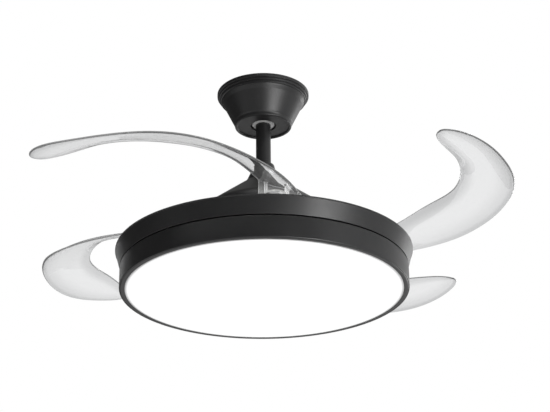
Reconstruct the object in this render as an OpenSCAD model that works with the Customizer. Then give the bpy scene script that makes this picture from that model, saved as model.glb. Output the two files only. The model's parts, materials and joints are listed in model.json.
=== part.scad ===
// Ceiling fan with four clear blades that fold in over a round lamp.
// The origin is on the fan's axis in the ceiling plane, and +Z points up.
// Pieces on the lamp side are set out by their height above the lamp's lower face.

/* [Overall] */
// Drop from the ceiling to the lamp's lower face
drop = 385; // [360:5:500]
// Sheet metal thickness of the housings
sheet = 1.5; // [1:0.1:2]
// Clearance beside a piece that turns or slides
run_gap = 0.3; // [0.2:0.05:0.5]
// Radial clearance of a shaft in its bush
shaft_fit = 0.05; // [0.02:0.01:0.08]

/* [Ceiling canopy] */
// Radius of the canopy at the ceiling
canopy_r = 83.2; // [78:0.1:95]
// Depth of the canopy
canopy_h = 67; // [65:1:75]
// Radius of the bead round the canopy's lower face
canopy_foot_r = 48.6; // [44:0.2:56]
// Height of the canopy's upright rim band
canopy_band_h = 5; // [5:0.5:8]
// How far the canopy's lower face lies above its foot bead
canopy_recess = 2.6; // [1.5:0.1:3]
// Space round the tilted rod in the canopy's lower face
canopy_hole_gap = 3.5; // [0.5:0.5:4]

/* [Hanging bracket] */
// Radius of the bracket's ceiling plate
plate_r = 68; // [66:1:72]
// Thickness of the bracket's plate and arms
plate_t = 2.5; // [2:0.25:3]
// Distance between the two ceiling slots
slot_spacing = 108; // [104:1:112]
// Width of a ceiling slot
slot_w = 5.5; // [4.5:0.5:7]
// End to end length of a ceiling slot
slot_len = 14; // [10:1:16]
// Depth of the ball's centre below the ceiling
ball_depth = 44; // [44:1:46]
// Radius of the hanger ball
ball_r = 27; // [26:0.5:28]
// How far the rod may tilt in its socket
swing = 15; // [5:1:15]
// Width of the key slot in the ball
key_slot_w = 6; // [5:0.5:8]

/* [Rod and coupling] */
// Outer radius of the rod
rod_r = 13.35; // [12.5:0.05:14]
// Wall of the rod
rod_wall = 2; // [1.5:0.1:2.5]
// Outer radius of the coupling's neck
yoke_r = 16.8; // [16.5:0.1:17]
// Radius of the coupling cover's neck
bell_neck_r = 19.2; // [19:0.1:21]
// Radius of the coupling cover's foot
bell_foot_r = 32; // [29:1:36]
// Height of the coupling cover
bell_h = 35; // [34:1:45]
// Radius of the two cross pins
pin_r = 3; // [2.5:0.5:3.5]

/* [Motor] */
// Space between the motor case's flange and the motor cover
dome_gap = 13; // [10:0.5:20]
// Height of the motor cover above the blade deck
dome_h = 135.8; // [130:0.2:145]
// Slope of the motor cover's upper side
dome_slope = 37.4; // [34:0.2:42]
// Rounding between the motor cover's upper side and its wall
dome_round = 30; // [15:1:40]
// Outer radius of the hollow motor shaft
shaft_r = 10; // [9.5:0.25:10.5]
// Radius of the wiring bore in the motor shaft
shaft_bore_r = 6; // [5.8:0.1:6.5]
// Outer radius of the turning motor case
case_r = 96; // [95:0.5:98]
// Outer radius of the bearings
bearing_r = 21; // [20.5:0.5:23]
// Number of stator teeth
stator_teeth = 12; // [9:3:12]
// Number of magnets
magnets = 14; // [10:2:16]

/* [Blade tray] */
// How far the tray's upper edge stands out beyond its lower edge
tray_flare = 8.6; // [6:0.2:12]
// Gap between the lamp body and the turning tray
tray_gap = 2; // [1:0.5:4]
// Height of the tray, from its lower edge to its deck
tray_h = 31.7; // [30:0.1:40]

/* [Blade drive] */
// Distance of the blade pivots in from the tray's lower edge
pivot_inset = 41.5; // [40:0.5:44]
// Teeth that a full blade gear would have
blade_gear_teeth = 27; // [25:1:29]
// Teeth that a full synchronising ring would have
ring_teeth = 112; // [108:2:120]
// Play between two teeth
backlash = 0.4; // [0.3:0.1:0.6]
// Thickness of the gears
gear_t = 6; // [5:0.5:7]
// Turn of a blade from open to folded
fold_angle = 71.5; // [70:0.5:74]
// Bearing of the first blade's pivot
pivot_az = 6.6; // [5:0.2:8]
// Radius of the pivot shafts
pivot_r = 8; // [7:0.5:8.5]

/* [Blades] */
// Distance of a folded blade's outer edge in from the tray's lower edge
blade_inset = 3; // [1:0.5:8]
// Width of a blade
blade_w = 87; // [77:1:92]
// Extra inner radius at the blade's root
root_in_flare = 27; // [20:1:30]
// How far the outer edge draws in beside the root
root_pinch = 6.5; // [0:0.5:9]
// Share of the length by which the root's end wall leans back at the inner edge
root_skew = 0.055; // [0:0.005:0.06]
// Bearing of a folded blade's root end
root_az = 9.5; // [8:0.5:11]
// Bearing of a folded blade's tip
tip_az = -131; // [-135:1:-120]
// Distance of a blade's tip in from its outer edge
tip_inset = 34; // [27:1:42]
// Share of the length at which the tip starts to close
tip_start = 0.81; // [0.75:0.01:0.9]
// Thickness of the clear blade
blade_t = 2.6; // [2:0.2:3]
// Depth of the curl along both edges
blade_curl = 0.12; // [0.05:0.01:0.14]
// Heights of the outer edge from root to tip, above the blade's foot
out_rise = [13, 15.5, 27.5, 27.5, 46];
// Heights of the inner edge from root to tip, above the blade's foot
in_rise = [33.5, 53.5, 53.5, 59.5, 58.5];

/* [Lamp] */
// Radius of the lamp body
lamp_r = 250; // [248:1:252]
// Height of the lamp body
lamp_h = 38; // [37:0.5:45]
// Width of the black rim round the opal cover
rim_w = 9.8; // [9:0.2:14]
// Thickness of the opal cover
diffuser_t = 2.2; // [1.8:0.2:3]
// Turn that frees the opal cover
twist_angle = 16; // [12:1:24]
// Number of holding lugs on the opal cover
lugs = 3; // [3:1:4]

/* [Hidden] */
$fn = 96;

cut = 1;
black = [0.09, 0.09, 0.09];
zinc = [0.78, 0.78, 0.77];
steel = [0.6, 0.6, 0.62];
copper = [0.72, 0.4, 0.2];
acrylic = [0.88, 0.89, 0.9, 0.6];

// ---- heights above the lamp face, and radii, that several pieces share
tray_low_z = lamp_h + tray_gap;
deck_z = tray_low_z + tray_h;
case_flange = 6;
case_flange_t = 4;
case_vent_r = 7;
case_vent_at = 60;
dome_r = case_r + case_flange + dome_gap;
dome_top_z = deck_z + dome_h;
yoke_base_z = dome_top_z - sheet - 4;
rod_end_z = yoke_base_z + 14;
yoke_top_z = dome_top_z + bell_h - 8;
yoke_pin_z = dome_top_z + 19;
case_low_z = deck_z + 5.3;
case_plate_t = 6;
seam_z = case_low_z + 23;
bearing_w = 12;
ball_bearing_r = 2.45;
bearing_mid_r = (bearing_r + shaft_r) / 2;
low_bearing_z = case_low_z + 9;
step_low_z = low_bearing_z + bearing_w;
step_high_z = step_low_z + 46;
seat_r = shaft_r + 4;
case_wall = 4;
case_in_r = case_r - case_wall;
magnet_t = 5.5;
stator_r = case_in_r - magnet_t - 1.2;
stator_mid_z = (step_low_z + step_high_z) / 2;
stator_h = 26;
stator_tooth_half = 4.5;
winding_end = 4.5;
winding_half = 9.5;
magnet_h = 34;
deck_low_z = deck_z - sheet;
foot_r = 80;
foot_in_r = 60;
foot_screw_r = (foot_r + foot_in_r) / 2;
tray_low_r = lamp_r;
tray_top_r = tray_low_r + tray_flare;

// ---- blade drive
blades = 4;
pivot_dist = tray_low_r - pivot_inset;
gear_module = 2 * pivot_dist / (ring_teeth + blade_gear_teeth);
ring_pitch_r = gear_module * ring_teeth / 2;
gear_pitch_r = gear_module * blade_gear_teeth / 2;
ring_turn = fold_angle * blade_gear_teeth / ring_teeth;
gear_z = deck_low_z - 18;
gear_root = 1.25 * gear_module;
bush_r = pivot_r + 2;
bush_flange_t = 1.5;
hub_z = deck_z + bush_flange_t + run_gap;
hub_t = 5;
foot_z = hub_z + hub_t;
blade_foot_t = 3;
arm_len = 26;
arm_r = 18;
screw_spots = [[-10, -20], [10, -20], [0, -37]];
blade_out_r = tray_low_r - blade_inset;
blade_in_r = blade_out_r - blade_w;
tip_r = blade_out_r - tip_inset;
ring_in_r = ring_pitch_r - gear_root - 14;
guide_r = 6;
guide_lip = 3.5;
guide_lip_t = 2;
guides = 8;

// ---- hanging bracket and canopy
canopy_t = 1.2;
socket_fit = 0.05;
socket_r = ball_r + 8;
socket_low = 14;
socket_high = 3;
ball_flat = 19;
ball_top = 14;
arm_y = socket_r - plate_t;
arm_w = 28;
ear_z = -(1.2 + canopy_band_h) / 2;
ear_screw_r = 1.25;
ear_head_r = 1.9;
rod_top_z = -(ball_depth - 20);
ball_pin_z = -(ball_depth - 8);
key_angle = -28;
key_reach = swing + 11;
canopy_floor_z = canopy_recess - canopy_h;
canopy_hole_r = rod_r / cos(swing) - (canopy_floor_z + ball_depth) * tan(swing) + canopy_hole_gap;

// ---- lamp
bezel_t = 1.5;
bezel_gap = 0.4;
diffuser_r = lamp_r - rim_w;
seat_gap = 0.1;
bezel_in_r = diffuser_r + bezel_gap;
lamp_in_r = lamp_r - sheet;
bezel_out_r = lamp_in_r - seat_gap;
skirt_r = diffuser_r - 6;
ledge_z = 9;
ledge_t = 2.5;
ledge_arc = twist_angle - 2;
lug_arc = ledge_arc - 2;
lamp_plate_z = lamp_h - sheet;
board_z = lamp_plate_z - 6.5;
board_t = 1.6;
board_in_r = 74;
board_out_r = diffuser_r - 12;
driver_in_r = 46;
driver_out_r = 68;
driver_h = 16;
hub_plate_r = 42;
hub_plate_t = 4;
hub_neck_h = 16;
hub_neck_r = shaft_r + 7;
nut_r = 17;
nut_h = 8;
washer_t = 1.6;
hub_screw_r = 34;
inner_posts = 4;
outer_posts = 8;
inner_post_r = board_in_r + 16;
outer_post_r = board_out_r - 24.2;
led_first_r = board_in_r + 26;
led_last_r = board_out_r - 11.2;
led_counts = [16, 22, 28, 32, 36];
led_size = 5;
led_h = 1.2;

// ---- plain helpers
module from_lamp_face() { translate([0, 0, -drop]) children(); }

module tube(outer, inner, low, high) {
    translate([0, 0, low]) difference() {
        cylinder(h = high - low, r = outer);
        translate([0, 0, -cut]) cylinder(h = high - low + 2 * cut, r = inner);
    }
}

module rod_between(radius, low, high) {
    translate([0, 0, low]) cylinder(h = high - low, r = radius);
}

module round_the_axis(count, start = 0) {
    for (i = [0 : count - 1]) rotate([0, 0, start + i * 360 / count]) children();
}

// Box from one corner to the opposite one
module box(low, high) { translate(low) cube(high - low); }

// Pan head screw along +Z, its head's seat at z = 0 and its point below
module screw(radius, length, head_r, head_h) {
    translate([0, 0, -length]) cylinder(h = length, r = radius);
    difference() {
        cylinder(h = head_h, r = head_r);
        translate([0, 0, head_h * 0.45]) {
            translate([-head_r * 0.6, -head_r * 0.12, 0]) cube([head_r * 1.2, head_r * 0.24, head_h]);
            translate([-head_r * 0.12, -head_r * 0.6, 0]) cube([head_r * 0.24, head_r * 1.2, head_h]);
        }
    }
}

// A closed skin through equal rings of points, capped at both ends by strips across the ring
module skin(rings) {
    n = len(rings[0]);
    m = len(rings);
    points = [for (ring = rings) for (p = ring) p];
    sides = [for (i = [0 : m - 2]) for (j = [0 : n - 1])
        let (a = i * n + j, b = i * n + (j + 1) % n, c = a + n, d = b + n)
        each [[a, b, d], [a, d, c]]];
    last = (m - 1) * n;
    caps = [for (j = [0 : n / 2 - 2]) each [
        [j + 1, j, n - 1 - j], [j + 1, n - 1 - j, n - 2 - j],
        [last + j, last + j + 1, last + n - 2 - j], [last + j, last + n - 2 - j, last + n - 1 - j]]];
    polyhedron(points = points, faces = concat(sides, caps), convexity = 10);
}

// ---- ceiling side

module hanging_bracket() color(zinc) {
    slot_x = slot_spacing / 2;
    slot_run = (slot_len - slot_w) / 2;
    ear_r = canopy_r - canopy_t - 1.3;
    ear_half = 7;
    ear_low = ear_z - 2.3;
    difference() {
        union() {
            rod_between(plate_r, -plate_t, 0);
            for (side = [-1, 1]) {
                x = side * (ear_r - 1);
                inner_x = side * (plate_r - 8);
                box([x - 1, -ear_half, ear_low], [x + 1, ear_half, 0]);
                box([min(x, inner_x), -ear_half, -plate_t], [max(x, inner_x), ear_half, 0]);
            }
        }
        for (side = [-1, 1]) translate([side * slot_x, 0, 0]) {
            for (end = [-1, 1]) translate([end * slot_run, 0, -plate_t - cut])
                cylinder(h = plate_t + 2 * cut, r = slot_w / 2);
            box([-slot_run, -slot_w / 2, -plate_t - cut], [slot_run, slot_w / 2, cut]);
        }
        for (side = [-1, 1]) translate([0, side * 54, -plate_t - cut])
            cylinder(h = plate_t + 2 * cut, r = 4);
        for (side = [-1, 1]) translate([side * (ear_r + cut), 0, ear_z]) rotate([0, -side * 90, 0])
            cylinder(h = 5, r = ear_screw_r + seat_gap);
    }
    // two arms carry the socket that the ball sits in
    difference() {
        for (side = [-1, 1])
            box([-arm_w / 2, side * arm_y - plate_t / 2, -ball_depth - socket_high],
                [arm_w / 2, side * arm_y + plate_t / 2, -plate_t]);
        translate([0, 0, -ball_depth]) sphere(r = ball_r + socket_fit);
    }
    difference() {
        rod_between(socket_r, -ball_depth - socket_low, -ball_depth - socket_high);
        translate([0, 0, -ball_depth]) sphere(r = ball_r + socket_fit);
        box([0, -rod_r - 1.5, -ball_depth - socket_low - cut],
            [socket_r + cut, rod_r + 1.5, -ball_depth - socket_high + cut]);
    }
    // key that stops the ball from turning with the motor
    translate([0, 0, -ball_depth]) rotate([key_angle, 0, 0])
        box([-key_slot_w / 2 + run_gap, ball_r - 3, -2.5], [key_slot_w / 2 - run_gap, ball_r + 2, 2.5]);
}

// Outside of the canopy: rim band, two beads, a shoulder, the cone and the foot bead
canopy_steps = [
    [canopy_r - 1, 0], [canopy_r, -1], [canopy_r, -canopy_band_h],
    [canopy_r - 0.9, -canopy_band_h - 1.2], [canopy_r - 2.4, -canopy_band_h - 1.8],
    [canopy_r - 2.7, -canopy_band_h - 3.8], [canopy_r - 3.6, -canopy_band_h - 5.2],
    [canopy_r - 5.2, -canopy_band_h - 5.8], [canopy_r - 5.5, -canopy_band_h - 7.8],
    [canopy_r - 6.4, -canopy_band_h - 9.4], [canopy_r - 7.8, -canopy_band_h - 10],
    [canopy_r - 9.2, -canopy_band_h - 12.5], [canopy_r - 12.6, -canopy_band_h - 17.7],
    [canopy_foot_r + 5, 9 - canopy_h], [canopy_foot_r + 3.6, 6.8 - canopy_h],
    [canopy_foot_r + 3, 4.6 - canopy_h], [canopy_foot_r + 1.6, 1.4 - canopy_h], [canopy_foot_r, -canopy_h]];

module canopy() color(black) {
    inner = [for (p = canopy_steps) if (p[1] > canopy_floor_z + canopy_t) [p[0] - canopy_t, p[1]]];
    bead_r = canopy_foot_r - 2.6;
    difference() {
        rotate_extrude() polygon(concat(canopy_steps,
            [[bead_r + 0.6, 0.8 - canopy_h], [bead_r, canopy_floor_z], [canopy_hole_r, canopy_floor_z],
                [canopy_hole_r, canopy_floor_z + canopy_t], [canopy_foot_r + 2.2 - canopy_t, canopy_floor_z + canopy_t]],
            [for (i = [len(inner) - 1 : -1 : 0]) inner[i]]));
        for (side = [-1, 1]) translate([side * canopy_r, 0, ear_z]) rotate([0, side * 90, 0]) {
            translate([0, 0, -3]) cylinder(h = 4, r = ear_screw_r + seat_gap);
            sunk_head(ear_screw_r + seat_gap, ear_head_r + seat_gap, cut);
        }
    }
}

// Countersunk head whose face is flush at z = 0, and runs on past it where it cuts a hole
module sunk_head(radius, head_r, past) {
    translate([0, 0, -canopy_t]) cylinder(h = canopy_t, r1 = radius, r2 = head_r);
    if (past > 0) cylinder(h = past, r = head_r);
}

module canopy_screws() color(black)
    for (side = [-1, 1]) translate([side * canopy_r, 0, ear_z]) rotate([0, side * 90, 0]) difference() {
        union() {
            translate([0, 0, -5]) cylinder(h = 5 - canopy_t / 2, r = ear_screw_r);
            sunk_head(ear_screw_r, ear_head_r, 0);
        }
        for (turn = [0, 90]) rotate([0, 0, turn])
            box([-1.2, -0.25, -canopy_t / 2], [1.2, 0.25, cut]);
    }

module receiver_box() color("dimgray") {
    low = -19;
    difference() {
        box([-40, -26, low], [40, 26, -plate_t]);
        for (side = [-1, 1]) box([side * 40 - 1, -27, low + 6], [side * 40 + 1, 27, low + 7]);
    }
    for (side = [-1, 1]) translate([0, side * 12, low - 0.6]) cylinder(h = 0.6, r = 3);
}

module terminal_block() color("ivory") {
    low = -16;
    difference() {
        box([-18, 37, low], [18, 50, -plate_t]);
        for (i = [-1, 0, 1]) {
            translate([i * 11, 43.5, low - cut]) cylinder(h = 9, r = 2.2);
            translate([i * 11, 36, low + 5]) rotate([-90, 0, 0]) cylinder(h = 16, r = 1.8);
        }
    }
}

// ---- hanging side

module hanger_ball() color(zinc)
    translate([0, 0, -ball_depth]) difference() {
        rotate([0, 0, 45]) sphere(r = ball_r);
        rod_between(ball_r + cut, -ball_r - cut, -ball_flat);
        rod_between(ball_r + cut, ball_top, ball_r + cut);
        rod_between(rod_r + shaft_fit, -ball_r - cut, ball_r + cut);
        translate([0, 0, ball_pin_z + ball_depth]) rotate([0, 90, 0])
            translate([0, 0, -ball_r]) cylinder(h = 2 * ball_r, r = pin_r + 1 + shaft_fit);
        // key slot, long enough for the whole swing
        rotate([key_angle, 0, 0]) rotate([90, 0, 90]) translate([0, 0, -key_slot_w / 2])
            linear_extrude(height = key_slot_w) polygon(concat(
                [for (a = [-2 : 2]) (ball_r - 3.6) * [cos(a * key_reach / 2), sin(a * key_reach / 2)]],
                [for (a = [2 : -1 : -2]) (ball_r + 9) * [cos(a * key_reach / 2), sin(a * key_reach / 2)]]));
    }

module ball_pin() color(steel)
    translate([0, 0, ball_pin_z]) rotate([0, 90, 0])
        rod_between(pin_r + 1, -ball_r + 3, ball_r - 3);

module downrod() color(black) {
    low = rod_end_z - drop;
    difference() {
        rod_between(rod_r, low, rod_top_z);
        rod_between(rod_r - rod_wall, low - cut, rod_top_z + cut);
        translate([0, 0, ball_pin_z]) rotate([0, 90, 0])
            rod_between(pin_r + 1 + shaft_fit, -rod_r - cut, rod_r + cut);
        translate([0, 0, yoke_pin_z - drop]) rotate([0, 90, 0])
            rod_between(pin_r + shaft_fit, -rod_r - cut, rod_r + cut);
    }
}

// Outside of the coupling cover, from its foot to its neck
bell_round = 4.5;
function bell_r(h) = bell_neck_r + (bell_foot_r - bell_neck_r) * pow(max(0, 1 - h / (bell_h - 1)), 1.4);

module coupling_cover() color(black) from_lamp_face() translate([0, 0, dome_top_z]) {
    wall = 1.2;
    steps = 12;
    shoulder = bell_h - bell_round;
    curve = [for (i = [0 : steps]) [bell_r(shoulder * i / steps), shoulder * i / steps]];
    middle = [bell_r(shoulder) - bell_round, shoulder];
    rotate_extrude() polygon(concat(curve,
        [for (a = [22.5 : 22.5 : 90]) middle + bell_round * [cos(a), sin(a)]],
        [[rod_r + 1, bell_h], [rod_r + 1, bell_h - wall]],
        [for (a = [90 : -22.5 : 22.5]) middle + (bell_round - wall) * [cos(a), sin(a)]],
        [for (i = [steps : -1 : 0]) [curve[i][0] - wall, curve[i][1]]]));
}

module yoke() color(steel) from_lamp_face() difference() {
    union() {
        rod_between(yoke_r, yoke_base_z, yoke_top_z);
        rod_between(bell_foot_r - 3, yoke_base_z, yoke_base_z + 4);
    }
    rod_between(rod_r + shaft_fit, rod_end_z, yoke_top_z + cut);
    rod_between(shaft_r, yoke_base_z - cut, rod_end_z - 2);
    rod_between(shaft_bore_r, yoke_base_z, rod_end_z + cut);
    translate([0, 0, yoke_pin_z]) rotate([0, 90, 0])
        rod_between(pin_r + shaft_fit, -yoke_r - cut, yoke_r + cut);
    translate([0, 0, rod_end_z + 6]) rotate([90, 0, 0])
        rod_between(2.5, -yoke_r - cut, yoke_r + cut);
    round_the_axis(3, 30) translate([bell_foot_r - 8, 0, yoke_base_z - cut]) cylinder(h = 4 + 2 * cut, r = 1.6);
}

module yoke_pin() color(steel) from_lamp_face() translate([0, 0, yoke_pin_z]) rotate([0, 90, 0])
    difference() {
        union() {
            rod_between(pin_r, -yoke_r - 0.1, yoke_r + 1.9);
            rod_between(pin_r + 1.5, -yoke_r - 1.5, -yoke_r - 0.1);
        }
        translate([0, 0, yoke_r + 0.9]) rotate([0, 90, 0]) rod_between(0.75, -pin_r - cut, pin_r + cut);
    }

module cotter_pin() color(zinc) from_lamp_face() translate([yoke_r + 0.9, 0, yoke_pin_z]) {
    rod_between(0.7, -pin_r - 2, pin_r + 3);
    translate([0, 0, -pin_r - 3.6]) rotate([0, 90, 0]) rotate_extrude() translate([1.8, 0]) circle(r = 0.6);
}

module set_screws() color(steel) from_lamp_face() translate([0, 0, rod_end_z + 6])
    for (side = [-1, 1]) rotate([side * 90, 0, 0]) {
        rod_between(2.45, rod_r + 0.1, yoke_r + 4);
        translate([0, 0, yoke_r + 0.3]) difference() {
            cylinder(h = 2.5, r = 4.4, $fn = 6);
            translate([0, 0, -cut]) cylinder(h = 2.5 + 2 * cut, r = 2.5);
        }
    }

module motor_cover() color(black) from_lamp_face() {
    skirt_low = deck_z + 6.3;
    turn = 90 - dome_slope;
    corner_z = dome_top_z - (dome_r - bell_foot_r) * tan(dome_slope);
    middle = [dome_r - dome_round, corner_z - dome_round * tan(turn / 2)];
    difference() {
        rotate_extrude() polygon(concat([[dome_r, skirt_low]],
            [for (i = [0 : 8]) middle + dome_round * [cos(turn * i / 8), sin(turn * i / 8)]],
            [[bell_foot_r, dome_top_z], [yoke_r + 0.5, dome_top_z], [yoke_r + 0.5, dome_top_z - sheet],
                [bell_foot_r - sheet * tan(dome_slope / 2), dome_top_z - sheet]],
            [for (i = [8 : -1 : 0]) middle + (dome_round - sheet) * [cos(turn * i / 8), sin(turn * i / 8)]],
            [[dome_r - sheet, skirt_low]]));
        round_the_axis(3, 30) translate([bell_foot_r - 8, 0, dome_top_z - 2 * sheet])
            cylinder(h = 3 * sheet, r = 1.8);
    }
}

module cover_screws() color(zinc) from_lamp_face()
    round_the_axis(3, 30) translate([bell_foot_r - 8, 0, dome_top_z]) screw(1.5, 5, 2.8, 1.8);

module motor_shaft() color(steel) from_lamp_face() rotate_extrude() polygon([
    [shaft_bore_r, 22], [shaft_r, 22], [shaft_r, step_low_z], [seat_r, step_low_z],
    [seat_r, step_high_z], [shaft_r, step_high_z], [shaft_r, rod_end_z - 2],
    [shaft_bore_r, rod_end_z - 2]]);

module stator_core() color(steel) from_lamp_face() translate([0, 0, stator_mid_z - stator_h / 2])
    difference() {
        union() {
            cylinder(h = stator_h, r = seat_r + 20);
            round_the_axis(stator_teeth) box([seat_r + 10, -stator_tooth_half, 0], [stator_r - 3, stator_tooth_half, stator_h]);
            difference() {
                cylinder(h = stator_h, r = stator_r);
                translate([0, 0, -cut]) cylinder(h = stator_h + 2 * cut, r = stator_r - 5);
                round_the_axis(stator_teeth, 180 / stator_teeth)
                    box([stator_r - 10, -3, -cut], [stator_r + 2, 3, stator_h + cut]);
            }
        }
        translate([0, 0, -cut]) cylinder(h = stator_h + 2 * cut, r = seat_r);
        round_the_axis(6) translate([seat_r + 10, 0, -cut]) cylinder(h = stator_h + 2 * cut, r = 3);
    }

module stator_windings() color(copper) from_lamp_face() translate([0, 0, stator_mid_z])
    round_the_axis(stator_teeth) difference() {
        box([seat_r + 26, -winding_half, -stator_h / 2 - winding_end],
            [stator_r - 8, winding_half, stator_h / 2 + winding_end]);
        box([seat_r + 20, -stator_tooth_half - seat_gap, -stator_h / 2 - seat_gap],
            [stator_r, stator_tooth_half + seat_gap, stator_h / 2 + seat_gap]);
    }

module at_both_bearings() for (z = [low_bearing_z, step_high_z]) translate([0, 0, z]) children();

module bearing_inner_rings() color(zinc) from_lamp_face() at_both_bearings()
    tube(bearing_mid_r - 2.5, shaft_r, 0, bearing_w);

module bearing_balls() color(zinc) from_lamp_face() at_both_bearings()
    round_the_axis(10) translate([bearing_mid_r, 0, bearing_w / 2]) sphere(r = ball_bearing_r, $fn = 32);

module bearing_outer_rings() color(zinc) from_lamp_face() at_both_bearings()
    tube(bearing_r, bearing_mid_r + 2.5, 0, bearing_w);

// Cable from the ceiling box through the rod and shaft to the lamp driver.
// Its points lie in one upright plane: [distance from the axis, height above the lamp face]
cable_r = 2.5;
cable_points = [[driver_in_r - 0.4, 26], [driver_in_r - 8, 24.4], [10, 18.2], [5, 18], [3, 21], [3, 30],
    [3, rod_end_z - 5], [3.4, rod_end_z], [6.6, rod_end_z + 10], [7, rod_end_z + 15], [7, drop + rod_top_z + 1]];

module supply_cable() color("whitesmoke") from_lamp_face() {
    last = len(cable_points) - 1;
    skin([for (i = [0 : last]) let (
        run = cable_points[min(i + 1, last)] - cable_points[max(i - 1, 0)],
        side = [-run[1], run[0]] / norm(run))
        [for (k = [7 : -1 : 0]) [cable_r * sin(45 * k), cable_points[i][0] + side[0] * cable_r * cos(45 * k),
            cable_points[i][1] + side[1] * cable_r * cos(45 * k)]]]);
}

// ---- turning motor case and blade tray

module motor_case_lower() color([0.3, 0.3, 0.31]) from_lamp_face() difference() {
    rotate_extrude() polygon([
        [bearing_mid_r + 3, case_low_z], [foot_in_r, case_low_z], [foot_in_r, deck_z],
        [foot_r, deck_z], [foot_r, case_low_z], [case_r, case_low_z], [case_r, seam_z - case_flange_t],
        [case_r + case_flange, seam_z - case_flange_t], [case_r + case_flange, seam_z], [case_in_r, seam_z],
        [case_in_r, case_low_z + case_plate_t], [bearing_r + 6, case_low_z + case_plate_t],
        [bearing_r + 6, step_low_z], [bearing_r, step_low_z], [bearing_r, low_bearing_z],
        [bearing_mid_r + 3, low_bearing_z]]);
    round_the_axis(6) translate([foot_screw_r, 0, deck_z - cut]) cylinder(h = 9, r = 2.6);
    round_the_axis(6, 30) translate([case_r + case_flange / 2, 0, seam_z - case_flange_t - cut])
        cylinder(h = case_flange_t + 2 * cut, r = 1.6);
}

module motor_case_upper() color([0.3, 0.3, 0.31]) from_lamp_face() difference() {
    plate_z = step_high_z - case_wall;
    rotate_extrude() polygon([
        [case_in_r, seam_z], [case_r + case_flange, seam_z], [case_r + case_flange, seam_z + case_flange_t],
        [case_r, seam_z + case_flange_t],
        [case_r, plate_z], [case_in_r, plate_z + case_wall], [bearing_r + 6, plate_z + case_plate_t],
        [bearing_r + 6, step_high_z + bearing_w + 2], [bearing_mid_r + 3, step_high_z + bearing_w + 2],
        [bearing_mid_r + 3, step_high_z + bearing_w], [bearing_r, step_high_z + bearing_w],
        [bearing_r, plate_z - 1], [case_in_r, plate_z - 1]]);
    round_the_axis(6, 30) translate([case_r + case_flange / 2, 0, seam_z - cut])
        cylinder(h = case_flange_t + 2 * cut, r = 1.6);
    round_the_axis(8) translate([case_vent_at, 0, plate_z - cut])
        cylinder(h = case_plate_t + 2 * cut, r = case_vent_r);
}

module case_screws() color(zinc) from_lamp_face()
    round_the_axis(6, 30) translate([case_r + case_flange / 2, 0, seam_z + case_flange_t])
        screw(1.5, 2 * case_flange_t + 0.5, 2.6, 2);

module magnet_ring() color([0.25, 0.25, 0.27]) from_lamp_face() difference() {
    half = magnet_h / 2;
    tube(case_in_r, case_in_r - magnet_t, stator_mid_z - half, stator_mid_z + half);
    round_the_axis(magnets)
        box([case_in_r - magnet_t - 2, -1, stator_mid_z - half - cut], [case_in_r - 1, 1, stator_mid_z + half + cut]);
}

// The four blade pivots
module at_pivots(which = -1)
    for (i = [0 : blades - 1]) if (which < 0 || which == i)
        rotate([0, 0, pivot_az + i * 360 / blades]) translate([pivot_dist, 0, 0]) children();

module blade_tray() color(black) from_lamp_face() difference() {
    lip = 4;
    lean = (tray_top_r - tray_low_r) / (deck_z - tray_low_z);
    rotate_extrude() polygon([
        [foot_in_r - 2, deck_low_z], [tray_top_r - sheet - lean * sheet, deck_low_z],
        [tray_low_r - sheet + lean * sheet, tray_low_z + sheet], [tray_low_r - lip, tray_low_z + sheet],
        [tray_low_r - lip, tray_low_z], [tray_low_r, tray_low_z], [tray_top_r - 0.3, deck_z - 1],
        [tray_top_r - 1, deck_z], [foot_in_r - 2, deck_z]]);
    at_pivots() rod_between(bush_r, deck_low_z - cut, deck_z + cut);
    round_the_axis(6) translate([foot_screw_r, 0, deck_low_z - cut]) cylinder(h = sheet + 2 * cut, r = 2.6);
    round_the_axis(guides, pivot_az + 22.5) translate([ring_in_r - guide_r - run_gap, 0, deck_low_z - cut])
        cylinder(h = sheet + 2 * cut, r = 2);
}

module tray_screws() color(zinc) from_lamp_face()
    round_the_axis(6) translate([foot_screw_r, 0, deck_low_z]) rotate([180, 0, 0]) screw(2.5, 6.5, 4.5, 2.4);

module pivot_bushes() color([0.85, 0.83, 0.78]) from_lamp_face() at_pivots() difference() {
    union() {
        rod_between(bush_r, gear_z + gear_t + run_gap, deck_z);
        rod_between(bush_r + 5, deck_z, deck_z + bush_flange_t);
    }
    rod_between(pivot_r + shaft_fit, gear_z, hub_z);
}

spring_wire_r = 0.8;
spring_r = (bush_r + spring_wire_r + run_gap) / cos(22.5);
spring_curls = 4;
spring_pitch = 2.1;

// Ring of points round a helical wire, at a turn counted in curls
function wire_ring(turn) = let (a = 360 * turn)
    [for (k = [0 : 5]) [(spring_r + spring_wire_r * cos(60 * k)) * cos(a),
        (spring_r + spring_wire_r * cos(60 * k)) * sin(a), spring_pitch * turn + spring_wire_r * sin(60 * k)]];
wire_path = [for (i = [0 : 8 * spring_curls]) let (a = 45 * i)
    [spring_r * cos(a), spring_r * sin(a), spring_pitch * i / 8]];
wire_gap = min([for (i = [0 : 8 * spring_curls]) for (j = [i + 5 : 8 * spring_curls])
    if (j > i + 4) norm(wire_path[i] - wire_path[j])]) - 2 * spring_wire_r;
echo(spring_self_gap = wire_gap);

module return_springs() color(zinc) from_lamp_face() at_pivots()
    translate([0, 0, deck_low_z - spring_wire_r - run_gap - spring_pitch * spring_curls])
        skin([for (i = [0 : 8 * spring_curls]) wire_ring(i / 8)]);

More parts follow.
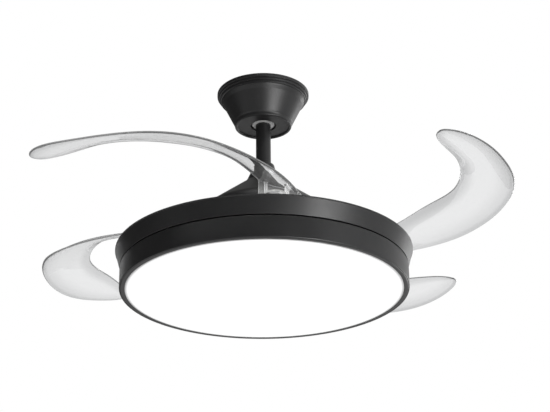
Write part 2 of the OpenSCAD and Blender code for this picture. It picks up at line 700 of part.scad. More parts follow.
module ring_guides() color([0.85, 0.83, 0.78]) from_lamp_face()
    round_the_axis(guides, pivot_az + 22.5) translate([ring_in_r - guide_r - run_gap, 0, 0]) {
        rod_between(guide_r, gear_z - run_gap - guide_lip_t, deck_low_z);
        rod_between(guide_r + guide_lip, gear_z - run_gap - guide_lip_t, gear_z - run_gap);
        rod_between(guide_r + guide_lip, gear_z + gear_t + run_gap, gear_z + gear_t + run_gap + guide_lip_t);
        rod_between(2, deck_low_z, deck_z + 0.6);
    }

// A tab on the ring meets a rubber stop at each end of its turn
tab_r = ring_in_r - 7;
stop_r = 5;
tab_half = 5;
stop_reach = asin((stop_r + tab_half + run_gap) / tab_r);
stop_tabs = [0, 180];

module ring_stops() color([0.15, 0.15, 0.15]) from_lamp_face()
    for (a = stop_tabs) for (end = [-stop_reach, ring_turn + stop_reach])
        rotate([0, 0, pivot_az + 37 + a + end]) translate([tab_r, 0, 0])
            rod_between(stop_r, gear_z, deck_low_z);

// ---- gears

// Radius and half angle of an involute tooth flank, at a share of its height
function flank_angle(teeth, radius) = let (
    pitch = gear_module * teeth / 2,
    base = pitch * cos(20),
    roll = radius > base ? sqrt(radius * radius / (base * base) - 1) * 180 / PI : 0,
    lean = radius > base ? roll - acos(base / radius) : 0,
    pitch_lean = tan(20) * 180 / PI - 20,
    half = (90 - backlash / 2 / pitch * 180 / PI * teeth) / teeth)
    half + pitch_lean - lean;

// Tooth from inside the gear's rim to its tip, a little thinner than the rim
tooth_inset = 0.2;
module gear_tooth(teeth) {
    steps = 5;
    low = gear_module * teeth / 2 - gear_root - 1;
    high = gear_module * (teeth / 2 + 1);
    radii = [for (i = [0 : steps]) low + (high - low) * i / steps];
    right = [for (r = radii) let (a = flank_angle(teeth, r)) [r * cos(a), -r * sin(a)]];
    left = [for (i = [steps : -1 : 0]) [right[i][0], -right[i][1]]];
    translate([0, 0, tooth_inset]) linear_extrude(height = gear_t - 2 * tooth_inset) polygon(concat(right, left));
}

module sync_ring() color([0.2, 0.2, 0.21]) from_lamp_face() translate([0, 0, gear_z]) {
    root = ring_pitch_r - gear_root;
    spare = 3;
    first = -ceil(ring_turn / (360 / ring_teeth)) - spare;
    union() {
        tube(root, ring_in_r, 0, gear_t);
        for (i = [0 : blades - 1]) rotate([0, 0, pivot_az + i * 360 / blades])
            for (tooth = [first : spare]) rotate([0, 0, tooth * 360 / ring_teeth]) gear_tooth(ring_teeth);
        for (a = stop_tabs) rotate([0, 0, pivot_az + 37 + a])
            box([ring_in_r - 11, -tab_half, 0], [ring_in_r + 3, tab_half, gear_t]);
    }
}

module blade_gear(i) color([0.2, 0.2, 0.21]) from_lamp_face() at_pivots(i) {
    root = gear_pitch_r - gear_root;
    spare = 3;
    last = ceil(fold_angle / (360 / blade_gear_teeth)) + spare;
    translate([0, 0, gear_z]) difference() {
        union() {
            cylinder(h = gear_t, r = root);
            for (tooth = [-spare : last]) rotate([0, 0, 180 + (tooth + 0.5) * 360 / blade_gear_teeth])
                gear_tooth(blade_gear_teeth);
        }
        difference() {
            translate([0, 0, -cut]) cylinder(h = gear_t + 2 * cut, r = pivot_r);
            box([pivot_r - 1.5, -pivot_r, -2 * cut], [pivot_r + cut, pivot_r, gear_t + 2 * cut]);
        }
        for (a = [-60, 0, 60]) rotate([0, 0, a]) translate([root * 0.62, 0, -cut])
            cylinder(h = gear_t + 2 * cut, r = 6);
    }
    // clip that keeps the gear on its shaft
    translate([0, 0, gear_z - 1.7]) difference() {
        cylinder(h = 1.2, r = pivot_r + 2.5);
        translate([0, 0, -cut]) cylinder(h = 3, r = pivot_r - 1);
        box([0, -2.5, -cut], [pivot_r + 4, 2.5, 3]);
    }
}

// ---- blades

// Smooth curve through five heights at equal steps, for a share of the length
function through_heights(h, t) = let (
    i = min(3, floor(t * 4)), u = t * 4 - i,
    a = h[max(i - 1, 0)], b = h[i], c = h[i + 1], d = h[min(i + 2, 4)])
    b + u * ((c - a) / 2 + u * ((2 * a - 5 * b + 4 * c - d) / 2 + u * (3 * (b - c) + d - a) / 2));

function tip_close(t) = let (u = max(0, (t - tip_start) / (1 - tip_start))) sqrt(max(0, 1 - u * u));
function root_flare(t) = root_in_flare * pow(max(0, 1 - t / 0.35), 2);
function pinch(t) = root_pinch * sin(180 * pow(min(1, t / 0.42), 0.6));
function outer_r(t) = tip_r + (blade_out_r - pinch(t) - tip_r) * tip_close(t);
function leaned(t, s) = t + root_skew * s * pow(max(0, 1 - t / 0.3), 2);
function inner_r(t) = tip_r - (tip_r - blade_in_r - root_flare(t)) * tip_close(t);
// Height of the blade's middle surface, at a share of the length and of the width
function blade_z(t, s) = let (low = through_heights(out_rise, t), high = through_heights(in_rise, t))
    foot_z + low + (high - low) * (s + blade_curl * sin(360 * s));
function radius_at(t, s) = outer_r(t) + (inner_r(t) - outer_r(t)) * s;
function blade_point(t, s, lift) = let (
    u = leaned(t, s), a = root_az + (tip_az - root_az) * u, r = radius_at(u, s))
    [r * cos(a), r * sin(a), blade_z(u, s) + lift];
// Half thickness, rounded off towards both long edges
edge_t = 0.3;
function half_t(s) = edge_t / 2 + (blade_t - edge_t) / 2 * sqrt(max(0, 1 - pow(abs(2 * s - 1), 10)));

blade_steps = 30;
width_steps = 11;
width_shares = [for (j = [0 : width_steps]) (1 - cos(180 * j / width_steps)) / 2];
last_t = 0.9995;
function upper_points(t) = [for (j = [width_steps : -1 : 0]) let (s = width_shares[j]) blade_point(t, s, half_t(s))];
function blade_ring(t) = concat([for (s = width_shares) blade_point(t, s, -half_t(s))], upper_points(t));

// The root's end wall drops from the pan to the foot, and slopes up to the outer edge
wall_t = 3;
wall_share = wall_t / (pivot_dist * PI / 180 * (root_az - tip_az));
wall_foot_r = pivot_dist + arm_r;
function wall_low(t, s) = let (
    u = leaned(t, s),
    up = max(0, (radius_at(u, s) - wall_foot_r) / (outer_r(t) - wall_foot_r)))
    foot_z + blade_foot_t / 2 + up * (blade_z(t, 0) - half_t(0) - foot_z - blade_foot_t / 2);
function wall_ring(t) = concat(
    [for (s = width_shares) let (p = blade_point(t, s, 0)) [p[0], p[1], wall_low(t, s)]], upper_points(t));

blade_rings = concat([wall_ring(0), wall_ring(wall_share)],
    [for (i = [0 : blade_steps]) blade_ring(wall_share * 1.1 + (last_t - wall_share * 1.1) * sin(90 * i / blade_steps))]);

// Where the end wall's middle crosses the root, at a distance out from the pivot
function wall_y(x) = let (
    s = (outer_r(0) - pivot_dist - x) / (outer_r(0) - inner_r(0)))
    (pivot_dist + x) * sin(root_az - pivot_az + (tip_az - root_az) * (root_skew * s + wall_share / 2));

// Height of the pan over a point of the root, set out from the pivot
function root_z(x, y) = let (
    r = norm([pivot_dist + x, y]),
    a = pivot_az + atan2(y, pivot_dist + x),
    t = max(0, (a - root_az) / (tip_az - root_az)),
    s = max(0, min(1, (outer_r(t) - r) / (outer_r(t) - inner_r(t)))))
    blade_z(t, s);

module blade(i) color(acrylic) from_lamp_face() at_pivots(i) rotate([0, 0, fold_angle]) {
    rib_t = 3;
    rib_gap = 0.4;
    translate([-pivot_dist, 0, 0]) rotate([0, 0, -pivot_az]) skin(blade_rings);
    difference() {
        union() {
            translate([0, -arm_len, foot_z]) cylinder(h = blade_foot_t, r = arm_r);
            box([-arm_r, -arm_len, foot_z], [arm_r, wall_y(arm_r), foot_z + blade_foot_t]);
            // two ribs under the pan, from the end wall along the foot
            for (x = [-arm_r + rib_t, arm_r]) let (start = wall_y(x - rib_t / 2)) translate([x, 0, 0])
                rotate([90, 0, -90]) linear_extrude(height = rib_t) polygon(concat(
                    [for (k = [0 : 4]) let (y = start - k * (arm_len + start) / 4)
                        [-y, root_z(x - rib_t / 2, y) - blade_t / 2 - rib_gap - 1.2]],
                    [[arm_len, foot_z + 1], [-start, foot_z + 1]]));
        }
        for (p = screw_spots) translate([p[0], p[1], foot_z - cut])
            cylinder(h = blade_foot_t + 2 * cut, r = 2.6);
    }
}

module blade_hub(i) color(black) from_lamp_face() at_pivots(i) {
    difference() {
        rod_between(pivot_r, gear_z - 3.2, foot_z - cut);
        tube(pivot_r + cut, pivot_r - 1, gear_z - 1.8, gear_z - 0.4);
        box([pivot_r - 1.5, -pivot_r, gear_z - 4], [pivot_r + cut, pivot_r, gear_z + gear_t]);
    }
    rotate([0, 0, fold_angle]) difference() {
        union() {
            rod_between(16, hub_z, foot_z);
            translate([0, -arm_len, hub_z]) cylinder(h = hub_t, r = arm_r);
            box([-16, -arm_len, hub_z], [16, 0, foot_z]);
        }
        for (p = screw_spots) translate([p[0], p[1], hub_z + 0.6]) cylinder(h = hub_t + cut, r = 2.1);
    }
}

module blade_screws(i) color(zinc) from_lamp_face() at_pivots(i) rotate([0, 0, fold_angle])
    for (p = screw_spots) translate([p[0], p[1], foot_z + blade_foot_t]) screw(2, 6.5, 4.2, 2.4);

// ---- lamp

module lamp_hub() color(steel) from_lamp_face() difference() {
    union() {
        rod_between(hub_plate_r, lamp_h, lamp_h + hub_plate_t);
        rod_between(hub_neck_r, lamp_h, lamp_h + hub_neck_h);
    }
    rod_between(shaft_r, lamp_h - cut, lamp_h + hub_neck_h + cut);
    round_the_axis(4, 45) translate([hub_screw_r, 0, lamp_h - cut]) cylinder(h = hub_plate_t + 2 * cut, r = 2.1);
}

module shaft_nut() color(zinc) from_lamp_face() difference() {
    union() {
        rod_between(nut_r + 1, lamp_plate_z - washer_t, lamp_plate_z);
        translate([0, 0, lamp_plate_z - washer_t - nut_h]) cylinder(h = nut_h, r = nut_r, $fn = 6);
    }
    rod_between(shaft_r, lamp_plate_z - washer_t - nut_h - cut, lamp_plate_z + cut);
}

module post_spots() {
    round_the_axis(inner_posts) translate([inner_post_r, 0, 0]) children();
    round_the_axis(outer_posts, 22.5) translate([outer_post_r, 0, 0]) children();
}

module lamp_chassis() color(black) from_lamp_face() {
    difference() {
        rotate_extrude() polygon([
            [shaft_r + 0.2, lamp_plate_z], [lamp_in_r, lamp_plate_z], [lamp_in_r, 0.4], [lamp_r - 0.6, 0.4],
            [lamp_r, 1.2], [lamp_r, lamp_h - 0.8], [lamp_r - 0.8, lamp_h], [shaft_r + 0.2, lamp_h]]);
        round_the_axis(4, 45) translate([hub_screw_r, 0, lamp_plate_z - cut])
            cylinder(h = sheet + 2 * cut, r = 2.1);
    }
    post_spots() tube(4, 1.5, board_z + board_t, lamp_plate_z);
}

module hub_screws() color(zinc) from_lamp_face()
    round_the_axis(4, 45) translate([hub_screw_r, 0, lamp_plate_z]) rotate([180, 0, 0]) screw(2, 5, 3.8, 2.2);

module bezel_ring() color(black) from_lamp_face() rotate_extrude() polygon([
    [bezel_in_r, 0.3], [bezel_in_r + 0.3, 0], [bezel_out_r - 1, 0], [bezel_out_r, 0.8], [bezel_out_r, 8],
    [bezel_out_r - sheet, 8], [bezel_out_r - sheet, bezel_t], [bezel_in_r, bezel_t]]);

// Arc of a ring, from one bearing to another
module arc_block(inner, outer, low, high, from, to) rotate([0, 0, from])
    rotate_extrude(angle = to - from) polygon([[inner, low], [outer, low], [outer, high], [inner, high]]);

module diffuser_clips() color(zinc) from_lamp_face() round_the_axis(lugs, 90) {
    half = ledge_arc / 2;
    outer = lamp_in_r - seat_gap;
    arc_block(skirt_r + 2, outer, ledge_z, ledge_z + ledge_t, -half, half);
    arc_block(outer - 1.5, outer, ledge_z + ledge_t, ledge_z + 18, -half, half);
    arc_block(skirt_r + 2, outer - 1.5, ledge_z + ledge_t, ledge_z + ledge_t + 4, -half, -half + 1);
}

module diffuser() color("white") from_lamp_face() {
    rod_between(diffuser_r, 0, diffuser_t);
    tube(skirt_r, skirt_r - 2, diffuser_t, ledge_z + 5);
    round_the_axis(lugs, 90) arc_block(skirt_r - 0.5, diffuser_r, ledge_z + ledge_t + run_gap,
        ledge_z + ledge_t + run_gap + 2.5, -ledge_arc / 2 + 1.2, -ledge_arc / 2 + 1.2 + lug_arc);
}

module led_board() color([0.93, 0.93, 0.9]) from_lamp_face() difference() {
    tube(board_out_r, board_in_r, board_z, board_z + board_t);
    post_spots() rod_between(1.6, board_z - cut, board_z + board_t + cut);
}

module led_chips() color([0.98, 0.9, 0.5]) from_lamp_face() {
    last = len(led_counts) - 1;
    for (i = [0 : last]) round_the_axis(led_counts[i], 5)
        translate([led_first_r + (led_last_r - led_first_r) * i / last, 0, board_z - led_h / 2])
            cube([led_size, led_size, led_h], center = true);
}

module board_screws() color(zinc) from_lamp_face()
    post_spots() translate([0, 0, board_z]) rotate([180, 0, 0]) screw(1.4, 5, 2.8, 1.6);

module led_driver() color([0.9, 0.9, 0.9]) from_lamp_face() difference() {
    tube(driver_out_r, driver_in_r, lamp_plate_z - driver_h, lamp_plate_z);
    round_the_axis(12) box([driver_out_r - 1, -2, lamp_plate_z - driver_h + 3], [driver_out_r + 2, 2, lamp_plate_z - 3]);
    for (side = [0, 180]) rotate([0, 0, side]) translate([(driver_in_r + driver_out_r) / 2, 0, lamp_plate_z - driver_h - cut])
        cylinder(h = 3, r = 3);
}

hanging_bracket();
canopy();
canopy_screws();
receiver_box();
terminal_block();
hanger_ball();
ball_pin();
downrod();
coupling_cover();
yoke();
yoke_pin();
cotter_pin();
set_screws();
motor_cover();
cover_screws();
motor_shaft();
stator_core();
stator_windings();
bearing_inner_rings();
bearing_balls();
supply_cable();
lamp_hub();
shaft_nut();
lamp_chassis();
hub_screws();
bezel_ring();
diffuser_clips();
led_board();
led_chips();
board_screws();
led_driver();
motor_case_lower();
motor_case_upper();
case_screws();
magnet_ring();
bearing_outer_rings();
blade_tray();
tray_screws();
pivot_bushes();
return_springs();
ring_guides();
ring_stops();
sync_ring();
blade(0);  // blade_1
blade(1);  // blade_2
blade(2);  // blade_3
blade(3);  // blade_4
blade_hub(0);  // blade_hub_1
blade_hub(1);  // blade_hub_2
blade_hub(2);  // blade_hub_3
blade_hub(3);  // blade_hub_4
blade_gear(0);  // blade_gear_1
blade_gear(1);  // blade_gear_2
blade_gear(2);  // blade_gear_3
blade_gear(3);  // blade_gear_4
blade_screws(0);  // blade_screws_1
blade_screws(1);  // blade_screws_2
blade_screws(2);  // blade_screws_3
blade_screws(3);  // blade_screws_4
diffuser();
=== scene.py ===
import json
import math

import bmesh
import bpy
from mathutils import Matrix, Vector


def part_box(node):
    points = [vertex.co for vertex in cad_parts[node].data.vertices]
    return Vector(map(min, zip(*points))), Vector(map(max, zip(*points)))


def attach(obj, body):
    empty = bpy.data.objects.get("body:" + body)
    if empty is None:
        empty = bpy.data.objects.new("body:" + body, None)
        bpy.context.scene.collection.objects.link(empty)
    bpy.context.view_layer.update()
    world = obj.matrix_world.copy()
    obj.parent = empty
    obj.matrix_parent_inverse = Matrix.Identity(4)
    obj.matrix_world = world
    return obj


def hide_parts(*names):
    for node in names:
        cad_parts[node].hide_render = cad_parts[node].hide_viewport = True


# Ceiling fan with four clear blades that fold in over a round lamp.
# The origin is on the fan's axis in the ceiling plane. Everything is in metres.
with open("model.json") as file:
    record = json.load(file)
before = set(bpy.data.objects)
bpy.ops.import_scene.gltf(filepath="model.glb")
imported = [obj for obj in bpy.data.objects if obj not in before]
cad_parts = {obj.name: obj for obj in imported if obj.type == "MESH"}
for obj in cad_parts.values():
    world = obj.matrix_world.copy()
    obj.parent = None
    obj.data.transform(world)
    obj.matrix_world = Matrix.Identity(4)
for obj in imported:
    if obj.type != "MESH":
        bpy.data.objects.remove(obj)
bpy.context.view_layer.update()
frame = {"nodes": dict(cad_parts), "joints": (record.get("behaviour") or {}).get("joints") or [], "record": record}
scene = bpy.context.scene
joints = {joint["name"]: joint for joint in frame["joints"]}
nodeSlot = {part["node"]: part["material_slot"] for part in frame["record"]["subparts"]}
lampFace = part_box("bezel_ring")[0].z  # height of the lit face below the ceiling
print("frame loaded:", len(frame["nodes"]), "nodes")


# Small helpers

def addObject(name, mesh):
    piece = bpy.data.objects.new(name, mesh)
    scene.collection.objects.link(piece)
    return piece


def meshFrom(name, points, faces, edges=()):
    mesh = bpy.data.meshes.new(name)
    mesh.from_pydata(points, edges, faces)
    mesh.validate()
    return mesh


def faceOutwards(mesh, mergeWithin=1e-6):
    bm = bmesh.new()
    bm.from_mesh(mesh)
    bmesh.ops.remove_doubles(bm, verts=bm.verts, dist=mergeWithin)
    bmesh.ops.dissolve_degenerate(bm, dist=mergeWithin, edges=bm.edges)
    bmesh.ops.recalc_face_normals(bm, faces=bm.faces)
    bm.to_mesh(mesh)
    bm.free()


def shadeByAngle(mesh, degrees=32):
    mesh.shade_smooth()
    mesh.set_sharp_from_angle(angle=math.radians(degrees))


def applied(piece):
    # the piece with its modifiers worked in, as a plain mesh
    graph = bpy.context.evaluated_depsgraph_get()
    mesh = bpy.data.meshes.new_from_object(piece.evaluated_get(graph))
    piece.modifiers.clear()
    piece.data = mesh
    return piece


def cutWith(piece, cutter, operation="DIFFERENCE"):
    step = piece.modifiers.new("cut", "BOOLEAN")
    step.operation = operation
    step.solver = "MANIFOLD"
    step.object = cutter
    applied(piece)
    bpy.data.objects.remove(cutter)
    return piece


def joinedMesh(name, meshes):
    bm = bmesh.new()
    for mesh in meshes:
        bm.from_mesh(mesh)
    joined = bpy.data.meshes.new(name)
    bm.to_mesh(joined)
    bm.free()
    return joined


def polar(radius, angle, x=0, y=0):
    return x + radius * math.cos(angle), y + radius * math.sin(angle)


def roundTheAxis(count, radius, startBearing=0.0):
    return [polar(radius, math.radians(startBearing + i * 360 / count)) for i in range(count)]


def loft(name, rings, mergeWithin=1e-6, strips=False):
    # a closed solid through rings of points; each end is one face, or strips across it
    n, last = len(rings[0]), (len(rings) - 1) * len(rings[0])
    steps = [(i, j, (j + 1) % n) for i in range(0, last, n) for j in range(n)]
    faces = [(i + j, i + after, i + n + after, i + n + j) for i, j, after in steps]
    end = [(j, j + 1, n - 2 - j, n - 1 - j) for j in range(n // 2 - 1)] if strips else [tuple(range(n))]
    faces += [face[::-1] for face in end] + [tuple(last + k for k in face) for face in end]
    mesh = meshFrom(name, [point for ring in rings for point in ring], faces)
    faceOutwards(mesh, mergeWithin)
    return mesh


# Node helpers

def feed(tree, node, inputs):
    # each input takes a value or another node's output
    for label, value in inputs.items():
        if hasattr(value, "is_output"):
            tree.links.new(value, node.inputs[label])
        else:
            node.inputs[label].default_value = value
    return node


def addNode(tree, kind, inputs=None, **settings):
    node = tree.nodes.new(kind)
    for label, value in settings.items():
        setattr(node, label, value)
    return feed(tree, node, inputs or {})


def mathNode(tree, operation, *values, clamp=False):
    inputs = dict(enumerate(values))
    return addNode(tree, "ShaderNodeMath", inputs, operation=operation, use_clamp=clamp).outputs[0]


def times(tree, first, second):
    return mathNode(tree, "MULTIPLY", first, second)


def plus(tree, first, second):
    return mathNode(tree, "ADD", first, second)


def vectorTimes(tree, vector, factors):
    return addNode(tree, "ShaderNodeVectorMath", {0: vector, 1: factors}, operation="MULTIPLY").outputs[0]


def mixNode(tree, mask, low, high, kind="RGBA"):
    low, high = ((*value, 1) if isinstance(value, tuple) else value for value in (low, high))
    inputs = {"Factor": mask, "A": low, "B": high}
    return addNode(tree, "ShaderNodeMix", inputs, data_type=kind).outputs["Result"]


def fitRange(tree, value, start, end, low=0.0, high=1.0, kind="LINEAR"):
    inputs = {"Value": value, "From Min": start, "From Max": end, "To Min": low, "To Max": high}
    return addNode(tree, "ShaderNodeMapRange", inputs, interpolation_type=kind).outputs["Result"]


def ramp(tree, value, start, end, low=1.0, high=0.0):
    return fitRange(tree, value, start, end, low, high, "SMOOTHSTEP")


def splitXYZ(tree, vector):
    return addNode(tree, "ShaderNodeSeparateXYZ", {0: vector}).outputs


def normalHeight(tree):
    # from 1 on a face that looks up to -1 on one that looks down
    return splitXYZ(tree, addNode(tree, "ShaderNodeNewGeometry").outputs["Normal"])["Z"]


def startMaterial(name):
    paint = bpy.data.materials.new(name)
    paint.use_nodes = True
    return paint, paint.node_tree, paint.node_tree.nodes["Principled BSDF"]


# Camera, lamps, backdrop

camera = {"place": (0.0, -2.464, -1.306), "pitch": 23.74, "yaw": 0.46, "roll": -0.58, "lens": 99.7,
          "sensor": 36.0}


def placeCamera():
    data = bpy.data.cameras.new("camera")
    data.lens = camera["lens"]
    data.sensor_width = camera["sensor"]
    eye = addObject("camera", data)
    pitch, yaw, roll = (math.radians(camera[k]) for k in ("pitch", "yaw", "roll"))
    ahead = Vector((math.sin(yaw) * math.cos(pitch), math.cos(yaw) * math.cos(pitch), math.sin(pitch)))
    right = Vector((math.cos(yaw), -math.sin(yaw), 0))
    up = right.cross(ahead)
    tiltedRight = right * math.cos(roll) + up * math.sin(roll)
    tiltedUp = up * math.cos(roll) - right * math.sin(roll)
    turn = Matrix((tiltedRight, tiltedUp, -ahead)).transposed()
    eye.matrix_world = Matrix.Translation(camera["place"]) @ turn.to_4x4()
    scene.camera = eye


lamps = {
    "key": {"bearing": 38, "height": -0.95, "away": 2.6, "size": (0.36, 2.3), "power": 60, "lean": -42},
    "rim": {"bearing": 138, "height": -0.55, "away": 2.4, "size": (0.7, 1.6), "power": 16, "lean": 0},
    "fill": {"bearing": -70, "height": -1.1, "away": 3.0, "size": (1.4, 1.4), "power": 3, "lean": 0},
    "top": {"bearing": 20, "height": 1.7, "away": 0.9, "size": (2.0, 2.0), "power": 18, "lean": 0},
}
lampTarget = (0, 0, -0.2)


def placeLamps():
    target = Vector(lampTarget)
    for name, lamp in lamps.items():
        data = bpy.data.lights.new(name, "AREA")
        data.shape = "RECTANGLE"
        data.size, data.size_y = lamp["size"]
        data.energy = lamp["power"]
        light = addObject(name, data)
        side = math.radians(lamp["bearing"])  # from the camera's side, towards the right
        place = Vector((math.sin(side) * lamp["away"], -math.cos(side) * lamp["away"], lamp["height"]))
        aim = (target - place).to_track_quat("-Z", "Y")
        lean = Matrix.Rotation(math.radians(lamp["lean"]), 4, "Z")
        light.matrix_world = Matrix.Translation(place) @ aim.to_matrix().to_4x4() @ lean


studio = {"fillLight": 0.42, "darkSide": 0.10, "brightSide": 0.86, "brightFrom": (0.93, 0.36, 0.05),
          "brightReach": 0.8, "floorDrop": 3.6, "floorHalf": 9.0, "floorColour": (0.86, 0.86, 0.86, 1),
          "floorRough": 0.9, "floorShine": 0.1, "floorGlow": 0.45}


def lightPath(tree):
    # the ray's kinds, and 1 where the camera looks straight or through glass
    path = addNode(tree, "ShaderNodeLightPath").outputs
    return path, mathNode(tree, "MAXIMUM", path["Is Camera Ray"], path["Is Transmission Ray"])


def buildWorld():
    scene.world = bpy.data.worlds.new("studio")
    scene.world.use_nodes = True
    tree = scene.world.node_tree
    tree.nodes.clear()
    path, seen = lightPath(tree)
    way = addNode(tree, "ShaderNodeTexCoord").outputs["Generated"]
    towards = Vector(studio["brightFrom"]).normalized()
    dot = addNode(tree, "ShaderNodeVectorMath", {0: way, 1: towards}, operation="DOT_PRODUCT")
    # mirrors see a white backdrop on one side of the studio
    sides = (studio["darkSide"], studio["brightSide"])
    spread = ramp(tree, dot.outputs["Value"], 0.0, studio["brightReach"], *sides)
    plain = mixNode(tree, seen, studio["fillLight"], 1.0, "FLOAT")
    # a ray through glass counts as glossy too, and sees the plain backdrop
    reflected = mathNode(tree, "SUBTRACT", path["Is Glossy Ray"], path["Is Transmission Ray"], clamp=True)
    mirrored = mixNode(tree, reflected, plain, spread, "FLOAT")
    back = addNode(tree, "ShaderNodeBackground", {"Color": (1, 1, 1, 1), "Strength": mirrored})
    addNode(tree, "ShaderNodeOutputWorld", {"Surface": back.outputs[0]})


def buildFloor():
    half, low = studio["floorHalf"], -studio["floorDrop"]
    corners = [(-half, -half, low), (half, -half, low), (half, half, low), (-half, half, low)]
    floor = addObject("floor", meshFrom("floor", corners, [(0, 1, 2, 3)]))
    paint, tree, shader = startMaterial("floorPaint")
    path, seen = lightPath(tree)
    seen = mathNode(tree, "MAXIMUM", seen, path["Is Glossy Ray"])
    feed(tree, shader, {
        "Base Color": studio["floorColour"], "Roughness": studio["floorRough"],
        "Specular IOR Level": studio["floorShine"], "Emission Color": (1, 1, 1, 1),
        "Emission Strength": times(tree, seen, studio["floorGlow"])})
    floor.data.materials.append(paint)


placeCamera()
placeLamps()
buildWorld()
buildFloor()
scene.view_settings.view_transform = "Standard"
print("camera, lamps and backdrop placed")


# Shared shader groups

def newGroup(name, inputs, outputs):
    group = bpy.data.node_groups.new(name, "ShaderNodeTree")
    for label, value in inputs.items():
        kind = "NodeSocketVector" if isinstance(value, tuple) else "NodeSocketFloat"
        group.interface.new_socket(name=label, in_out="INPUT", socket_type=kind).default_value = value
    for label in outputs:
        group.interface.new_socket(name=label, in_out="OUTPUT", socket_type="NodeSocketFloat")
    return group, group.nodes.new("NodeGroupInput").outputs


# parts of a noise or of the upright normal that the masks show
grainBand, dustBand, smudgeBand = (0.32, 0.68), (0.55, 1.0), (0.3, 0.7)


def objectNoise(group, size, detail, stretch=None, distortion=0.0):
    place = addNode(group, "ShaderNodeTexCoord").outputs["Object"]
    if stretch is not None:
        place = vectorTimes(group, place, stretch)
    inputs = {"Vector": place, "Scale": size, "Detail": detail, "Distortion": distortion}
    return addNode(group, "ShaderNodeTexNoise", inputs).outputs[0]


def fineGrainGroup():
    # even fine grain on the object, stretched along an axis if wanted
    group, given = newGroup("fineGrain", {"Size": 500.0, "Stretch": (1, 1, 1)}, ("Mask", "Height"))
    noise = objectNoise(group, given["Size"], 3.0, stretch=given["Stretch"])
    addNode(group, "NodeGroupOutput", {"Mask": fitRange(group, noise, *grainBand), "Height": noise})
    return group


def softDustGroup():
    # thin dust that settles on faces that look up, broken by slow blotches
    group, given = newGroup("softDust", {"Amount": 0.3, "Size": 14.0}, ("Mask",))
    upward = fitRange(group, normalHeight(group), *dustBand)
    blotches = times(group, upward, objectNoise(group, given["Size"], 5.0))
    addNode(group, "NodeGroupOutput", {"Mask": times(group, blotches, given["Amount"])})
    return group


def smudgeGroup():
    # slow uneven patches, as handling leaves on a shiny face
    group, given = newGroup("smudges", {"Size": 9.0, "Low": 0.0, "High": 1.0}, ("Value",))
    noise = objectNoise(group, given["Size"], 4.0, distortion=0.6)
    value = fitRange(group, noise, *smudgeBand, given["Low"], given["High"])
    addNode(group, "NodeGroupOutput", {"Value": value})
    return group


fineGrain = fineGrainGroup()
softDust = softDustGroup()
smudges = smudgeGroup()


# Finishes

def finish(dark, light, rough, grain, bump, metal=0.0, shine=0.5, dust=0.0, stretch=(1, 1, 1)):
    # two colours that the grain mixes, the range of the roughness, grains in a metre and their depth
    return {"dark": dark, "light": light, "rough": rough, "grain": grain, "bump": bump, "metal": metal,
            "shine": shine, "dust": dust, "stretch": stretch}


finishes = {
    "blackPaint": finish((0.0075, 0.0075, 0.0078), (0.014, 0.014, 0.0145), (0.34, 0.44), 900, 0.05,
                         shine=0.42, dust=0.16),
    "blackOxide": finish((0.012, 0.012, 0.013), (0.03, 0.03, 0.032), (0.3, 0.45), 1500, 0.08, 0.6),
    "zincPlate": finish((0.56, 0.56, 0.54), (0.76, 0.76, 0.75), (0.24, 0.42), 260, 0.05, 1.0, dust=0.1),
    "machinedSteel": finish((0.42, 0.42, 0.44), (0.6, 0.6, 0.62), (0.2, 0.34), 420, 0.08, 1.0,
                            stretch=(0.12, 0.12, 4.0)),
    "nickelScrew": finish((0.68, 0.67, 0.64), (0.82, 0.81, 0.79), (0.14, 0.26), 1800, 0.03, 1.0),
    "groundSteel": finish((0.62, 0.62, 0.64), (0.74, 0.74, 0.76), (0.08, 0.16), 1200, 0.02, 1.0),
    "sheetStack": finish((0.2, 0.2, 0.22), (0.48, 0.48, 0.5), (0.35, 0.5), 300, 0.4, 1.0,
                         stretch=(0.03, 0.03, 8.0)),
    "copperWire": finish((0.42, 0.16, 0.07), (0.78, 0.4, 0.22), (0.22, 0.36), 240, 0.6, 1.0,
                         stretch=(0.1, 0.1, 7.0)),
    "castAluminium": finish((0.34, 0.34, 0.35), (0.5, 0.5, 0.51), (0.42, 0.6), 520, 0.25, 1.0, dust=0.1),
    "ferrite": finish((0.05, 0.05, 0.055), (0.1, 0.1, 0.105), (0.5, 0.7), 700, 0.2, 0.3, 0.4),
    "blackMoulding": finish((0.014, 0.014, 0.014), (0.026, 0.026, 0.026), (0.42, 0.56), 1100, 0.15,
                            shine=0.4, dust=0.1),
    "gearMoulding": finish((0.03, 0.03, 0.031), (0.05, 0.05, 0.051), (0.34, 0.46), 800, 0.08, shine=0.45),
    "bearingPlastic": finish((0.7, 0.67, 0.58), (0.8, 0.77, 0.69), (0.34, 0.5), 600, 0.08, dust=0.05),
    "castZinc": finish((0.5, 0.5, 0.5), (0.62, 0.62, 0.62), (0.34, 0.5), 700, 0.2, 0.85, dust=0.05),
    "paleNylon": finish((0.5, 0.5, 0.5), (0.58, 0.58, 0.575), (0.36, 0.5), 700, 0.08),
    "ivoryPlastic": finish((0.74, 0.71, 0.62), (0.82, 0.8, 0.72), (0.26, 0.4), 500, 0.05, dust=0.05),
    "whiteCase": finish((0.72, 0.72, 0.71), (0.8, 0.8, 0.79), (0.3, 0.44), 800, 0.1),
    "cableSheath": finish((0.66, 0.66, 0.64), (0.75, 0.75, 0.73), (0.36, 0.5), 900, 0.06),
    "stopRubber": finish((0.018, 0.018, 0.018), (0.034, 0.034, 0.034), (0.68, 0.84), 900, 0.3, shine=0.3),
    "lacqueredBoard": finish((0.76, 0.76, 0.73), (0.84, 0.84, 0.82), (0.3, 0.42), 300, 0.03),
    "phosphor": finish((0.8, 0.62, 0.12), (0.88, 0.74, 0.24), (0.35, 0.5), 2500, 0.1),
}
dustColour, bumpDepth = (0.34, 0.33, 0.31), 0.0004

